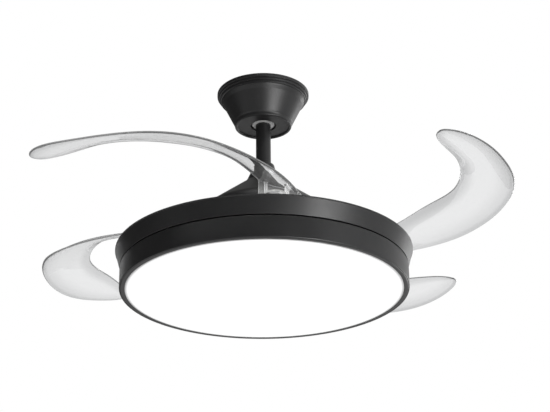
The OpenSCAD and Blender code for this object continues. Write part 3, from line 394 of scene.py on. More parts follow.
slotFinish = {
    "black_metal": "blackPaint", "bezel_metal": "blackPaint", "black_screw": "blackOxide",
    "zinc_plate": "zincPlate", "steel": "machinedSteel", "screw_steel": "nickelScrew",
    "bearing_steel": "groundSteel", "stator_steel": "sheetStack", "copper_wire": "copperWire",
    "magnet_ferrite": "ferrite", "motor_aluminium": "castAluminium", "black_plastic": "blackMoulding",
    "hub_zinc": "castZinc", "ball_nylon": "paleNylon", "gear_plastic": "gearMoulding",
    "bush_plastic": "bearingPlastic", "ivory_plastic": "ivoryPlastic", "driver_case": "whiteCase",
    "cable_sheath": "cableSheath", "stop_rubber": "stopRubber", "board_white": "lacqueredBoard",
    "led_phosphor": "phosphor", "clear_acrylic": "clearAcrylic", "opal": "opalCover",
}


def placeGroup(tree, group, **values):
    return addNode(tree, "ShaderNodeGroup", values, node_tree=group).outputs


def addBump(tree, shader, height, strength, depth):
    bump = addNode(tree, "ShaderNodeBump", {"Height": height, "Strength": strength, "Distance": depth})
    feed(tree, shader, {"Normal": bump.outputs[0]})


def worn(tree, rough, size=9.0):
    return placeGroup(tree, smudges, Size=size, Low=rough[0], High=rough[1])["Value"]


def solidFinish(name, look):
    paint, tree, shader = startMaterial(name)
    grain = placeGroup(tree, fineGrain, Size=look["grain"], Stretch=look["stretch"])
    colour = mixNode(tree, grain["Mask"], look["dark"], look["light"])
    if look["dust"] > 0:
        colour = mixNode(tree, placeGroup(tree, softDust, Amount=look["dust"])["Mask"], colour, dustColour)
    feed(tree, shader, {"Base Color": colour, "Roughness": worn(tree, look["rough"]),
                        "Metallic": look["metal"], "Specular IOR Level": look["shine"]})
    addBump(tree, shader, grain["Height"], look["bump"], bumpDepth)
    return paint


# the rim, outer lip, outer broad, inner lip and steep shares mix the dark colour into the clear one as painted
# shade along the blade's edges, lips and steep slopes, and their bands are where they fade, in mm from an edge, or
# for steepBand by the upright part of the normal; rootFade runs along the blade. The emission colours are painted
# glow that lightens the whole sheet, more so its rim, and its root's parts
acrylic = {
    "clear": (0.79, 0.793, 0.797), "paintedShade": (0.10, 0.105, 0.11), "paintedSheetGlow": (0.02, 0.02, 0.02),
    "glow": (0.16, 0.16, 0.16), "paintedRootGlow": (0.15, 0.15, 0.147), "rough": (0.0, 0.03), "roughSize": 16.0,
    "rootRough": 0.3, "rimRough": 0.15, "rimSee": 0.25, "bend": 1.49, "flow": 12, "flowBump": 0.12,
    "flowDepth": 0.002, "rim": 0.2, "rimBand": (0.2, 1.6), "outerLipShade": 0.2, "outerBand": (4, 10),
    "outerBroadShade": 0.2, "broadBand": (0, 42), "innerLipShade": 0.24, "innerBand": (6, 26), "steepShade": 0.42,
    "steepBand": (0.45, 0.97), "rootFade": (0.1, 0.5, 0.35, 1.0)}
bladeMarks = ("outerReach", "innerReach", "rootPart", "alongBlade")


def clearAcrylic():
    # painted shade: the blade's own distances from its long edges darken the clear plastic along its lips, and its
    # steep slopes darken too
    paint, tree, shader = startMaterial("clearAcrylic")
    outer, inner, root, along = (
        addNode(tree, "ShaderNodeAttribute", attribute_name=label).outputs["Fac"] for label in bladeMarks)
    # painted shade at both long edges, which the rim also lightens with painted glow
    rim = mathNode(tree, "MAXIMUM", *(ramp(tree, edge, *acrylic["rimBand"]) for edge in (outer, inner)))
    pastRoot = ramp(tree, along, *acrylic["rootFade"])
    broadShade = times(tree, ramp(tree, outer, *acrylic["broadBand"]), pastRoot)
    # painted shade on steep slopes, by how upright the normal is
    steepShade = ramp(tree, mathNode(tree, "ABSOLUTE", normalHeight(tree)), *acrylic["steepBand"])
    steepShade = times(tree, steepShade, pastRoot)
    lips = [(ramp(tree, outer, *acrylic["outerBand"]), "outerLipShade"),
            (ramp(tree, inner, *acrylic["innerBand"]), "innerLipShade")]
    # painted shade: the masks add up to how far the clear colour turns dark
    shade = 0.0
    for mask, share in [(broadShade, "outerBroadShade"), *lips, (steepShade, "steepShade"), (rim, "rim")]:
        shade = plus(tree, shade, times(tree, mask, acrylic[share]))
    shade = mathNode(tree, "MINIMUM", shade, 1.0)
    # painted glow: emission lightens the whole sheet a little and its rim more
    paintedEdgeGlow = mixNode(tree, rim, acrylic["paintedSheetGlow"], acrylic["glow"])
    frost = plus(tree, times(tree, root, acrylic["rootRough"]), times(tree, rim, acrylic["rimRough"]))
    # painted glow: the emission colour also lightens the root's parts, though the blade is no lamp
    feed(tree, shader, {
        "Transmission Weight": 1.0, "IOR": acrylic["bend"], "Emission Strength": 1.0,
        "Base Color": mixNode(tree, shade, acrylic["clear"], acrylic["paintedShade"]),
        "Emission Color": mixNode(tree, root, paintedEdgeGlow, acrylic["paintedRootGlow"]),
        "Alpha": mathNode(tree, "SUBTRACT", 1.0, times(tree, rim, acrylic["rimSee"])),
        "Roughness": plus(tree, worn(tree, acrylic["rough"], acrylic["roughSize"]), frost)})
    flow = placeGroup(tree, fineGrain, Size=acrylic["flow"])
    addBump(tree, shader, flow["Height"], acrylic["flowBump"], acrylic["flowDepth"])
    return paint


opal = {"body": (0.55, 0.55, 0.55, 1), "shine": 0.3, "glow": 0.72, "low": (0.955, 0.957, 0.96),
        "high": (1.0, 1.0, 1.0), "edge": (0.12, 0.12, 0.12), "edgeBand": (0.2345, 0.2400), "patches": 5.0,
        "roughSize": 20.0, "rough": (0.42, 0.55), "grain": 1400.0, "bump": 0.05, "bumpDepth": 0.0003}


def opalCover():
    # the light board stops short of the cover's rim, which stays dim
    paint, tree, shader = startMaterial("opalCover")
    glow = mixNode(tree, placeGroup(tree, smudges, Size=opal["patches"])["Value"], opal["low"], opal["high"])
    place = addNode(tree, "ShaderNodeTexCoord").outputs["Object"]
    flat = vectorTimes(tree, place, (1, 1, 0))
    fromAxis = addNode(tree, "ShaderNodeVectorMath", {0: flat}, operation="LENGTH").outputs["Value"]
    dim = ramp(tree, fromAxis, *opal["edgeBand"], 0.0, 1.0)
    feed(tree, shader, {
        "Base Color": opal["body"], "Specular IOR Level": opal["shine"],
        "Roughness": worn(tree, opal["rough"], opal["roughSize"]), "Emission Strength": opal["glow"],
        "Emission Color": mixNode(tree, dim, glow, opal["edge"])})
    grain = placeGroup(tree, fineGrain, Size=opal["grain"])
    addBump(tree, shader, grain["Height"], opal["bump"], opal["bumpDepth"])
    return paint


paints = {name: solidFinish(name, look) for name, look in finishes.items()}
paints["clearAcrylic"] = clearAcrylic()
paints["opalCover"] = opalCover()


def dress(piece, node, body, degrees=32):
    # a finished piece takes a CAD node's place, body and finish
    shadeByAngle(piece.data, degrees)
    slot = nodeSlot[node]
    piece.data.materials.clear()
    piece.data.materials.append(paints[slotFinish[slot]])
    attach(piece, body)
    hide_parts(node)


print("finishes built:", len(paints))


# Turned shells: an outline is swept round the fan's axis by a Geometry Nodes tree

def newTree(name, inputs):
    tree = bpy.data.node_groups.new(name, "GeometryNodeTree")
    tree.is_modifier = True
    tree.interface.new_socket(name="Geometry", in_out="INPUT", socket_type="NodeSocketGeometry")
    sockets = {}
    for label, kind in {**inputs, "Paint": "Material"}.items():
        socket = tree.interface.new_socket(name=label, in_out="INPUT", socket_type=f"NodeSocket{kind}")
        sockets[label] = socket.identifier
    tree.interface.new_socket(name="Geometry", in_out="OUTPUT", socket_type="NodeSocketGeometry")
    return tree, tree.nodes.new("NodeGroupInput").outputs, sockets


def endTree(tree, given, geometry):
    real = addNode(tree, "GeometryNodeRealizeInstances", {0: geometry})
    paint = addNode(tree, "GeometryNodeSetMaterial", {
        "Geometry": real.outputs[0], "Material": given["Paint"]})
    addNode(tree, "NodeGroupOutput", {0: paint.outputs[0]})


def runTree(piece, built, node, values):
    # the inputs are set before the tree first runs, and the piece is left as a plain mesh
    modifier = piece.modifiers.new("tree", "NODES")
    modifier.node_group, sockets = built
    for label, value in values.items():
        modifier[sockets[label]] = value
    modifier[sockets["Paint"]] = paints[slotFinish[nodeSlot[node]]]
    return applied(piece)


def sweepTree():
    tree, given, sockets = newTree("sweepRound", {"Steps Round": "Int", "Sharp Above": "Float"})
    size = addNode(tree, "GeometryNodeAttributeDomainSize", {"Geometry": given["Geometry"]})
    count = size.outputs["Point Count"]
    steps = plus(tree, given["Steps Round"], 1.0)
    grid = addNode(tree, "GeometryNodeMeshGrid", {
        "Size X": 1.0, "Size Y": 1.0, "Vertices X": steps, "Vertices Y": count})
    place = addNode(tree, "GeometryNodeInputPosition").outputs[0]
    parts = splitXYZ(tree, place)
    angle = times(tree, plus(tree, parts["X"], 0.5), math.tau)
    share = plus(tree, parts["Y"], 0.5)
    index = mathNode(tree, "ROUND", times(tree, share, mathNode(tree, "SUBTRACT", count, 1.0)))
    outline = addNode(tree, "GeometryNodeSampleIndex", {
        "Geometry": given["Geometry"], "Value": place, "Index": index}, data_type="FLOAT_VECTOR")
    at = splitXYZ(tree, outline.outputs["Value"])
    swept = addNode(tree, "ShaderNodeCombineXYZ", {
        "X": times(tree, at["X"], mathNode(tree, "COSINE", angle)),
        "Y": times(tree, at["X"], mathNode(tree, "SINE", angle)), "Z": at["Z"]})
    move = addNode(tree, "GeometryNodeSetPosition", {
        "Geometry": grid.outputs["Mesh"], "Position": swept.outputs[0]})
    weld = addNode(tree, "GeometryNodeMergeByDistance", {"Geometry": move.outputs[0], "Distance": 1e-6})
    bend = addNode(tree, "GeometryNodeInputMeshEdgeAngle").outputs["Unsigned Angle"]
    limit = given["Sharp Above"]
    sharp = addNode(tree, "FunctionNodeCompare", {"A": bend, "B": limit}, operation="GREATER_THAN")
    crease = addNode(tree, "GeometryNodeSetShadeSmooth", {
        "Geometry": weld.outputs[0], "Selection": sharp.outputs[0], "Shade Smooth": False}, domain="EDGE")
    endTree(tree, given, crease.outputs[0])
    return tree, sockets


sweep = sweepTree()
sharpAbove = 0.6  # radians
arcs = {"most": 0.48, "room": 2.2}  # share of a side that an arc takes, and room for a support point


def roundedOutline(corners, base=0.0, closed=True, steps=5, support=0.0005):
    # corners are (radius, height, rounding) in mm above a base height; each rounded corner becomes an arc
    # with a support point beside it
    corners = [(r / 1000, base + z / 1000, rounding / 1000) for r, z, rounding in corners]
    points = []
    count = len(corners)
    for i, (r, z, rounding) in enumerate(corners):
        here = Vector((r, z))
        if rounding <= 0 or (not closed and i in (0, count - 1)):
            points.append(here)
            continue
        before = Vector(corners[i - 1][:2]) - here
        after = Vector(corners[(i + 1) % count][:2]) - here
        half = before.angle(after) / 2
        reach = min(rounding / math.tan(half), arcs["most"] * before.length, arcs["most"] * after.length)
        radius = reach * math.tan(half)
        middle = here + (before.normalized() + after.normalized()).normalized() * (radius / math.sin(half))
        first = here + before.normalized() * reach
        last = here + after.normalized() * reach
        if before.length > arcs["room"] * (reach + support):
            points.append(first + before.normalized() * support)
        fromAngle = math.atan2(first.y - middle.y, first.x - middle.x)
        turn = math.atan2(last.y - middle.y, last.x - middle.x) - fromAngle
        turn = (turn + math.pi) % math.tau - math.pi
        for k in range(steps + 1):
            a = fromAngle + turn * k / steps
            points.append(middle + radius * Vector((math.cos(a), math.sin(a))))
        if after.length > arcs["room"] * (reach + support):
            points.append(last + after.normalized() * support)
    if closed:
        points.append(points[0].copy())
    return [(p.x, 0.0, p.y) for p in points]


def turned(name, outline, node, steps):
    edges = [(i, i + 1) for i in range(len(outline) - 1)]
    piece = addObject(name, meshFrom(name, outline, [], edges))
    runTree(piece, sweep, node, {"Steps Round": steps, "Sharp Above": sharpAbove})
    faceOutwards(piece.data)
    return piece


def lampHeight(mm):
    return lampFace + mm / 1000


canopy = {  # mm
    "rim": 83.2, "depth": 67, "wall": 1.2, "foot": 48.6, "recess": 2.6, "hole": 22.8, "screwRadius": 1.35,
    "screwHead": 2.0, "screwHeight": 3.1, "plug": (-4, 2), "plugSides": 24, "sides": 144,
    # band, beads and shoulder: inward from the rim, height and rounding, on the outside and then the inside
    "bands": ((1.0, 0, 0.3), (0, -1.0, 0.7), (0, -6.7, 1.9), (2.4, -6.8, 0.25), (2.7, -10.7, 1.6),
              (5.2, -10.8, 0.25), (5.5, -14.9, 1.8), (7.8, -15.0, 0.3), (9.2, -17.5, 2.0),
              (12.6, -22.7, 5.0)),
    "inside": ((12.6, -22.7, 4.0), (9.2, -17.5, 1.2), (7.8, -15.0, 0.6), (5.2, -10.8, 0.6), (2.4, -6.8, 0.6),
               (1.0, 0, 0.2)),
    # foot bead: outward from the foot, height above it and rounding
    "bead": ((5.0, 9, 1.0), (3.6, 6.8, 0.6), (3.0, 5.0, 0.8), (2.4, 0, 2.3), (-2.4, 0, 1.5)),
}


def canopyOutline():
    # rim band, two beads and a shoulder, then the cone, the foot bead and the recessed lower face
    rim, depth, wall, foot, hole = (canopy[k] for k in ("rim", "depth", "wall", "foot", "hole"))
    face = canopy["recess"] - depth
    outer = [(rim - d, z, f) for d, z, f in canopy["bands"]]
    bead = [(foot + d, h - depth, f) for d, h, f in canopy["bead"]]
    middle = [(foot - 2.6, face, 0.4), (hole, face, 0.3), (hole, face + wall, 0.3),
              (foot + 1.0, face + wall, 0.5), (bead[0][0] - wall, bead[0][1], 0.6)]
    inner = [(rim - d - wall, z, f) for d, z, f in canopy["inside"]]
    return roundedOutline(outer + bead + middle + inner)


# screws and pins are count, radius and first bearing
rod = {"outer": 13.35, "wall": 2.0, "sides": 64}
bell = {"neck": 19.2, "foot": 32, "height": 35, "wall": 1.2, "power": 1.4, "round": 4.5, "steps": 20,
        "roundSteps": 8, "rodGap": 1, "sides": 96}
dome = {"radius": 115, "top": 207.5, "slope": 37.4, "round": 30, "wall": 1.5, "skirtLow": 78, "hole": 17.3,
        "screws": (3, 24, 30), "screwHole": 1.8, "steps": 20, "sides": 160}
tray = {"low": 250, "top": 258.6, "foot": 40, "deck": 71.7, "wall": 1.5, "inner": 58, "lip": 4,
        "pivotHole": 10, "screws": (6, 70, 0), "screwHole": 2.6, "pins": (8, 143.95, 22.5), "pinHole": 2.0,
        "drilled": (68, 74), "sides": 256}
lampCase = {"radius": 250, "height": 38, "wall": 1.5, "bore": 10.2, "screws": (4, 34, 45), "screwHole": 2.1,
            "posts": ((4, 90, 0), (8, 204, 22.5)), "postRadius": 4.0, "postBore": 1.5, "postLow": 31.6,
            "postInto": 0.2, "postSides": 24, "sides": 256}
bezel = {"inner": 240.6, "outer": 248.4, "depth": 8, "face": 1.5, "wall": 1.5, "sides": 256}
cover = {"radius": 240.2, "face": 2.2, "skirt": 234.2, "skirtWall": 2, "skirtTop": 14, "lugs": 3,
         "lugInner": 233.7, "lugOuter": 240.2, "lugHeight": 2.5, "lugSpan": (84.2, 96.2), "sides": 256}


def rodOutline():
    low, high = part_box("downrod")[0].z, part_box("downrod")[1].z
    outer, inner, top = rod["outer"], rod["outer"] - rod["wall"], (high - low) * 1000
    return roundedOutline([(outer, 0, 0.4), (outer, top, 0.4), (inner, top, 0.3), (inner, 0, 0.3)], low)


def bellOutline():
    wall, top, rim = bell["wall"], bell["height"], rod["outer"] + bell["rodGap"]
    shoulder = top - bell["round"]

    def flare(h):
        return bell["neck"] + (bell["foot"] - bell["neck"]) * max(0, 1 - h / (top - 1)) ** bell["power"]
    heights = [shoulder * i / bell["steps"] for i in range(bell["steps"] + 1)]
    curve = [(flare(h), h) for h in heights]
    centre = flare(shoulder) - bell["round"]

    def quarter(radius):
        steps = bell["roundSteps"]
        return [polar(radius, math.pi / 2 * i / steps, centre, shoulder) for i in range(1, steps + 1)]
    outer = [(r, h, 0) for r, h in curve + quarter(bell["round"])]
    outer[0] = (bell["foot"], 0, 0.5)
    under = quarter(bell["round"] - wall)[::-1] + [(r - wall, h) for r, h in reversed(curve)]
    corners = outer + [(rim, top, 0.3), (rim, top - wall, 0.2)] + [(r, h, 0) for r, h in under]
    return roundedOutline(corners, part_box("coupling_cover")[0].z)


def domeOutline():
    # upright wall, a large rounding and a straight cone up to the coupling cover
    radius, top, wall, hole = (dome[k] for k in ("radius", "top", "wall", "hole"))
    slope = math.radians(dome["slope"])
    turn = math.pi / 2 - slope
    corner = top - (radius - bell["foot"]) * math.tan(slope)
    centre = (radius - dome["round"], corner - dome["round"] * math.tan(turn / 2))

    def arc(size):
        return [(*polar(size, turn * i / dome["steps"], *centre), 0) for i in range(dome["steps"] + 1)]
    crownIn = bell["foot"] - wall * math.tan(slope / 2)
    crown = [(bell["foot"], top, 0.5), (hole, top, 0.4), (hole, top - wall, 0.3), (crownIn, top - wall, 0.3)]
    corners = [(radius, dome["skirtLow"], 0.6)] + arc(dome["round"]) + crown + arc(dome["round"] - wall)[::-1]
    return roundedOutline(corners + [(radius - wall, dome["skirtLow"], 0.5)], lampFace)


def trayOutline():
    low, top, foot, deck, wall, lip, inner = (
        tray[k] for k in ("low", "top", "foot", "deck", "wall", "lip", "inner"))
    lean = (top - low) / (deck - foot)
    return roundedOutline([
        (inner, deck - wall, 0.4), (top - wall - lean * wall, deck - wall, 1.0),
        (low - wall + lean * wall, foot + wall, 0.6), (low - lip, foot + wall, 0.4), (low - lip, foot, 0.4),
        (low, foot, 0.7), (top - 0.9, deck - 3.0, 0.6), (top, deck - 2.4, 0.7), (top, deck - 0.7, 0.8),
        (top - 2.4, deck, 0.7), (inner, deck, 0.4)], lampFace)


def lampCaseOutline():
    r, h, wall, bore = (lampCase[k] for k in ("radius", "height", "wall", "bore"))
    return roundedOutline([
        (bore, h - wall, 0.2), (r - wall, h - wall, 0.8), (r - wall, 0.4, 0.25), (r - 0.4, 0.4, 0.5),
        (r, 1.6, 0.9), (r, h, 1.3), (bore, h, 0.2)], lampFace)


def bezelOutline():
    a, b, depth, face, wall = (bezel[k] for k in ("inner", "outer", "depth", "face", "wall"))
    return roundedOutline([
        (a, 0.35, 0.3), (a + 0.6, 0, 0.5), (b - 1.2, 0, 0.6), (b, 1.0, 0.6), (b, depth, 0.2),
        (b - wall, depth, 0.2), (b - wall, face, 0.4), (a, face, 0.2)], lampFace)


def coverOutline():
    r, face, skirt, wall, top = (cover[k] for k in ("radius", "face", "skirt", "skirtWall", "skirtTop"))
    return roundedOutline([
        (0, 0, 0), (r, 0, 0.5), (r, face, 0.3), (skirt, face, 0.4), (skirt, top, 0.5),
        (skirt - wall, top, 0.5), (skirt - wall, face, 0.4), (0, face, 0)], lampFace, closed=False)


def arcBlock(name, inner, outer, low, high, fromAngle, toAngle, steps=12):
    turns = [math.radians(fromAngle + (toAngle - fromAngle) * i / steps) for i in range(steps + 1)]
    section = ((inner, low), (outer, low), (outer, high), (inner, high))
    return loft(name, [[(*polar(r, a), z) for r, z in section] for a in turns])


pivots = [Vector(joints[f"blade_fold_{i}"]["pos_m"]) for i in (1, 2, 3, 4)]
pivotBearing = math.degrees(math.atan2(pivots[0].y, pivots[0].x))


def ringSpots(count, radius, start):
    # places on a circle with its radius in mm
    return roundTheAxis(count, radius / 1000, start)


def allSpots(rings):
    return [spot for ring in rings for spot in ringSpots(*ring)]


def lampPlugs(spots, radius, low, high, sides=20):
    # upright round plugs in mm, with their heights above the lamp's lit face, used to drill holes
    circle = roundTheAxis(sides, radius / 1000)
    rings = [[[(x + cx, y + cy, lampHeight(z)) for cx, cy in circle] for z in (low, high)] for x, y in spots]
    return addObject("plugs", joinedMesh("plugs", [loft("plug", pair) for pair in rings]))


def sidePlug(side):
    # a countersunk hole across the canopy's rim band
    hole, head, (inside, outside) = canopy["screwRadius"], canopy["screwHead"], canopy["plug"]
    corners = [(0, inside, 0), (hole, inside, 0), (hole, -canopy["wall"], 0), (head, 0, 0),
               (head, outside, 0), (0, outside, 0)]
    cutter = turned("sideHole", roundedOutline(corners, closed=False), "canopy", canopy["plugSides"])
    place = Matrix.Translation((side * canopy["rim"] / 1000, 0, -canopy["screwHeight"] / 1000))
    cutter.data.transform(place @ Matrix.Rotation(side * math.pi / 2, 4, "Y"))
    return cutter


def boardPosts():
    # tubes under the lamp's plate that take the light board's screws
    low, high = lampCase["postLow"], lampCase["height"] - lampCase["wall"] + lampCase["postInto"]
    spots, sides = allSpots(lampCase["posts"]), lampCase["postSides"]
    tubes = lampPlugs(spots, lampCase["postRadius"], low, high, sides)
    return cutWith(tubes, lampPlugs(spots, lampCase["postBore"], low - 1, high + 1, sides))


def coverLugs():
    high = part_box("diffuser")[1].z
    low, inner, outer = high - cover["lugHeight"] / 1000, cover["lugInner"] / 1000, cover["lugOuter"] / 1000
    (start, end), turns = cover["lugSpan"], [i * 360 / cover["lugs"] for i in range(cover["lugs"])]
    return [arcBlock("lug", inner, outer, low, high, turn + start, turn + end) for turn in turns]


def buildTurnedShells():
    shell = turned("canopy_shell", canopyOutline(), "canopy", canopy["sides"])
    for side in (-1, 1):
        cutWith(shell, sidePlug(side))
    dress(shell, "canopy", "ceiling")
    flared = turned("coupling_bell", bellOutline(), "coupling_cover", bell["sides"])
    dress(flared, "coupling_cover", "hanging")
    crown = turned("dome_shell", domeOutline(), "motor_cover", dome["sides"])
    cutWith(crown, lampPlugs(ringSpots(*dome["screws"]), dome["screwHole"], dome["top"] - 3, dome["top"] + 1))
    dress(crown, "motor_cover", "hanging")
    dress(turned("hanging_pipe", rodOutline(), "downrod", rod["sides"]), "downrod", "hanging")
    deck = turned("blade_deck", trayOutline(), "blade_tray", tray["sides"])
    count, radius, past = tray["pins"]
    pins = ringSpots(count, radius, pivotBearing + past)
    cutWith(deck, lampPlugs([(p.x, p.y) for p in pivots], tray["pivotHole"], *tray["drilled"], 32))
    cutWith(deck, lampPlugs(ringSpots(*tray["screws"]), tray["screwHole"], *tray["drilled"]))
    cutWith(deck, lampPlugs(pins, tray["pinHole"], *tray["drilled"]))
    dress(deck, "blade_tray", "rotor")
    case = turned("lamp_case", lampCaseOutline(), "lamp_chassis", lampCase["sides"])
    plate = lampCase["height"] - lampCase["wall"]
    cutWith(case, lampPlugs(ringSpots(*lampCase["screws"]), lampCase["screwHole"], plate - 1, plate + 3))
    cutWith(case, boardPosts(), "UNION")
    dress(case, "lamp_chassis", "hanging")
    dress(turned("lamp_bezel", bezelOutline(), "bezel_ring", bezel["sides"]), "bezel_ring", "hanging")
    disc = turned("opal_disc", coverOutline(), "diffuser", cover["sides"])
    disc.data = joinedMesh("opal_disc", [disc.data] + coverLugs())
    dress(disc, "diffuser", "cover")


buildTurnedShells()
print("turned shells built")


# Clear blades

blade = {  # mm and degrees, and shares of the blade's length or width
    "outer": 246.7, "inner": 160, "rootFlare": 27, "flareEnd": 0.35, "pinch": 6.5, "pinchEnd": 0.42,
    "pinchPower": 0.6, "skew": 0.055, "skewEnd": 0.3, "rootBearing": 9.5, "tipBearing": -131,
    "tipRadius": 213, "tipStart": 0.81, "innerTipStart": 0.78, "tipDrop": 1, "thick": 2.6, "edgeRound": 3.2,
    "edgeShare": 0.06, "screwSpots": ((-10, -20), (10, -20), (0, -37)), "ribGap": 0.2,
    "thinShare": 0.35, "thinWidth": 20, "curl": 0.12, "outerRise": (13, 15.5, 27.5, 27.5, 45),
    "innerRise": (33.5, 53.5, 53.5, 59.5, 57), "lipDip": 2, "lipWidth": 7, "lipFade": 30, "lipEnd": 0.5,
    "lengthSteps": 90, "widthSteps": 32, "lastShare": 0.9995, "wall": 3.0, "wallSteps": 20,
    "wallSpan": (0.012, 0.976), "wallOverlap": 1.3, "skinOverlap": 1.1, "wallRise": 0.35, "wallGap": 0.3,
    "armLength": 26, "armRadius": 18, "footThick": 3.0, "ribThick": 3.0, "ribSteps": 6, "screwHole": 2.6,
    "holeSides": 28, "rootDepth": 3, "farReach": 60.0, "leastWidth": 0.5, "weld": 1e-4, "sharpAt": 38,
}
pivotDistance = pivots[0].to_2d().length * 1000
pivotOut = Vector((pivotDistance, 0, 0))
foldAngle = -joints["blade_fold_1"]["range_deg"][0]
footHeight = (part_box("blade_hub_1")[1].z - lampFace) * 1000  # the seat that the blade's foot rests on
bladeTurn = blade["tipBearing"] - blade["rootBearing"]
wallShare = blade["wall"] / (pivotDistance * math.radians(-bladeTurn))


def turnZ(degrees, size=3):
    return Matrix.Rotation(math.radians(degrees), size, "Z")


def throughHeights(heights, share):
    i = min(3, int(share * 4))
    u = share * 4 - i
    a, b, c, d = (heights[min(max(k, 0), 4)] for k in (i - 1, i, i + 1, i + 2))
    return b + u * ((c - a) / 2 + u * ((2 * a - 5 * b + 4 * c - d) / 2 + u * (3 * (b - c) + d - a) / 2))


def tipClose(t, start=blade["tipStart"]):
    u = max(0, (t - start) / (1 - start))
    return math.sqrt(max(0, 1 - u * u))


def outerRadius(t):
    pinch = blade["pinch"] * math.sin(math.pi * min(1, t / blade["pinchEnd"]) ** blade["pinchPower"])
    return blade["tipRadius"] + (blade["outer"] - pinch - blade["tipRadius"]) * tipClose(t)


def innerRadius(t):
    flare = blade["rootFlare"] * max(0, 1 - t / blade["flareEnd"]) ** 2
    close = tipClose(t, blade["innerTipStart"])
    return blade["tipRadius"] - (blade["tipRadius"] - blade["inner"] - flare) * close


def radiusAt(t, s):
    return outerRadius(t) + (innerRadius(t) - outerRadius(t)) * s


def lipDip(t, s):
    # the pan dips beside the outer edge, which leaves an upturned lip there
    fromEdge = s * (outerRadius(t) - innerRadius(t))
    fall = min(1, fromEdge / blade["lipWidth"])
    past = max(0, fromEdge - blade["lipWidth"]) / blade["lipFade"]
    close = tipClose(t, blade["lipEnd"])
    return blade["lipDip"] * math.sin(math.pi / 2 * fall) * math.exp(-past * past) * close


def panHeight(t, s):
    low = throughHeights(blade["outerRise"], t)
    high = throughHeights(blade["innerRise"], t)
    close = tipClose(t, blade["innerTipStart"])
    across = (high - low) * close * (s + blade["curl"] * math.sin(math.tau * s) - 0.5)
    return footHeight + (low + high) / 2 + across - blade["tipDrop"] * (1 - close) - lipDip(t, s)


def leaned(t, s):
    # the root's end leans back towards the inner edge
    return t + blade["skew"] * s * max(0, 1 - t / blade["skewEnd"]) ** 2


def panPoint(t, s):
    # middle of the sheet on the folded blade, in mm; s goes from the outer edge to the inner one
    t = leaned(t, s)
    bearing = math.radians(blade["rootBearing"] + bladeTurn * t)
    return Vector((*polar(radiusAt(t, s), bearing), panHeight(t, s)))


def panNormal(t, s, step=0.004, lastAlong=0.995):
    along = panPoint(min(t + step, lastAlong), s) - panPoint(max(t - step, 0), s)
    across = panPoint(t, min(s + step, 1)) - panPoint(t, max(s - step, 0))
    normal = along.cross(across).normalized()
    return normal if normal.z > 0 else -normal


def halfThickness(t, s):
    # the sheet thins out where the tip is narrow, and its edges are rounded
    width = abs(outerRadius(t) - innerRadius(t))
    toEdge = min(s, 1 - s) * width
    rounded = math.sqrt(max(0.0, 1 - max(0.0, 1 - toEdge / blade["edgeRound"]) ** 2))
    thin = blade["thinShare"] + (1 - blade["thinShare"]) * min(1, width / blade["thinWidth"])
    return blade["thick"] / 2 * (blade["edgeShare"] + (1 - blade["edgeShare"]) * rounded) * thin


def wallFoot(t, s):
    # lower edge of the root's end wall, which slopes up to the outer edge
    inside = pivotDistance + blade["armRadius"]
    up = max(0, (radiusAt(leaned(t, s), s) - inside) / (outerRadius(t) - inside))
    foot = footHeight + blade["footThick"] / 2
    return foot + up * (panHeight(t, 0) - foot - blade["wallGap"])


def bladeRing(t):
    count = blade["widthSteps"]
    lower, upper = [], []
    for j in range(count + 1):
        s = (1 - math.cos(math.pi * j / count)) / 2
        middle, offset = panPoint(t, s), panNormal(t, s) * halfThickness(t, s)
        lower.append(middle - offset)
        upper.append(middle + offset)
    return lower + upper[::-1]


def bladeSkin():
    start, count = wallShare * blade["skinOverlap"], blade["lengthSteps"]
    length = blade["lastShare"] - start
    shares = [start + length * math.sin(math.pi / 2 * i / count) for i in range(count + 1)]
    return loft("bladeSkin", [bladeRing(t) for t in shares], blade["weld"], strips=True)


def endWall():
    # the upright wall that closes the root, from the pan down to the foot
    count, (first, span) = blade["wallSteps"], blade["wallSpan"]
    rings = []
    for s in (first + span * j / count for j in range(count + 1)):
        low, high = [], []
        for t in (0, wallShare * blade["wallOverlap"]):
            p = panPoint(t, s)
            low.append((p.x, p.y, wallFoot(t, s)))
            high.append((p.x, p.y, p.z + blade["wallRise"]))
        rings.append(low + high[::-1])
    return loft("endWall", rings, blade["weld"])


def toOpen(point):
    # from the folded blade's place to the open one, both about the first pivot
    return turnZ(foldAngle) @ (turnZ(-pivotBearing) @ point - pivotOut)


def fromPivot(x, y, z):
    # a point set out from the pivot, in the folded blade's frame
    return turnZ(pivotBearing) @ (Vector((x, y, z)) + pivotOut)


def rootSolid(name, outline, low, high):
    return loft(name, [[fromPivot(x, y, z) for x, y in outline] for z in (low, high)], blade["weld"])


def wallLine(x):
    # where the end wall's middle crosses the root, at a distance out from the pivot
    s = (outerRadius(0) - pivotDistance - x) / (outerRadius(0) - innerRadius(0))
    turn = blade["rootBearing"] - pivotBearing + bladeTurn * (blade["skew"] * s + wallShare / 2)
    return (pivotDistance + x) * math.sin(math.radians(turn))


def panOver(x, y):
    # height of the pan over a point of the root
    p = fromPivot(x, y, 0)
    t = max(0, (math.degrees(math.atan2(p.y, p.x)) - blade["rootBearing"]) / bladeTurn)
    r = p.to_2d().length
    s = max(0, min(1, (outerRadius(t) - r) / (outerRadius(t) - innerRadius(t))))
    return panHeight(t, s)


def footOutline():
    reach, radius = blade["armLength"], blade["armRadius"]
    end = wallLine(radius)
    arc = [polar(radius, math.radians(a), 0, -reach) for a in range(180, 361, 9)]
    return arc + [(radius, end), (-radius, end)]


def ribMesh(x):
    # a thin upright rib between the foot and the pan
    thick, low = blade["ribThick"], footHeight + 1
    start, count = wallLine(x - thick / 2), blade["ribSteps"]
    rings = []
    for y in (start - (blade["armLength"] + start) * k / count for k in range(count + 1)):
        high = panOver(x - thick / 2, y) - blade["ribGap"]
        corners = ((x - thick, low), (x, low), (x, high), (x - thick, high))
        rings.append([fromPivot(px, y, z) for px, z in corners])
    return loft("rib", rings, blade["weld"])


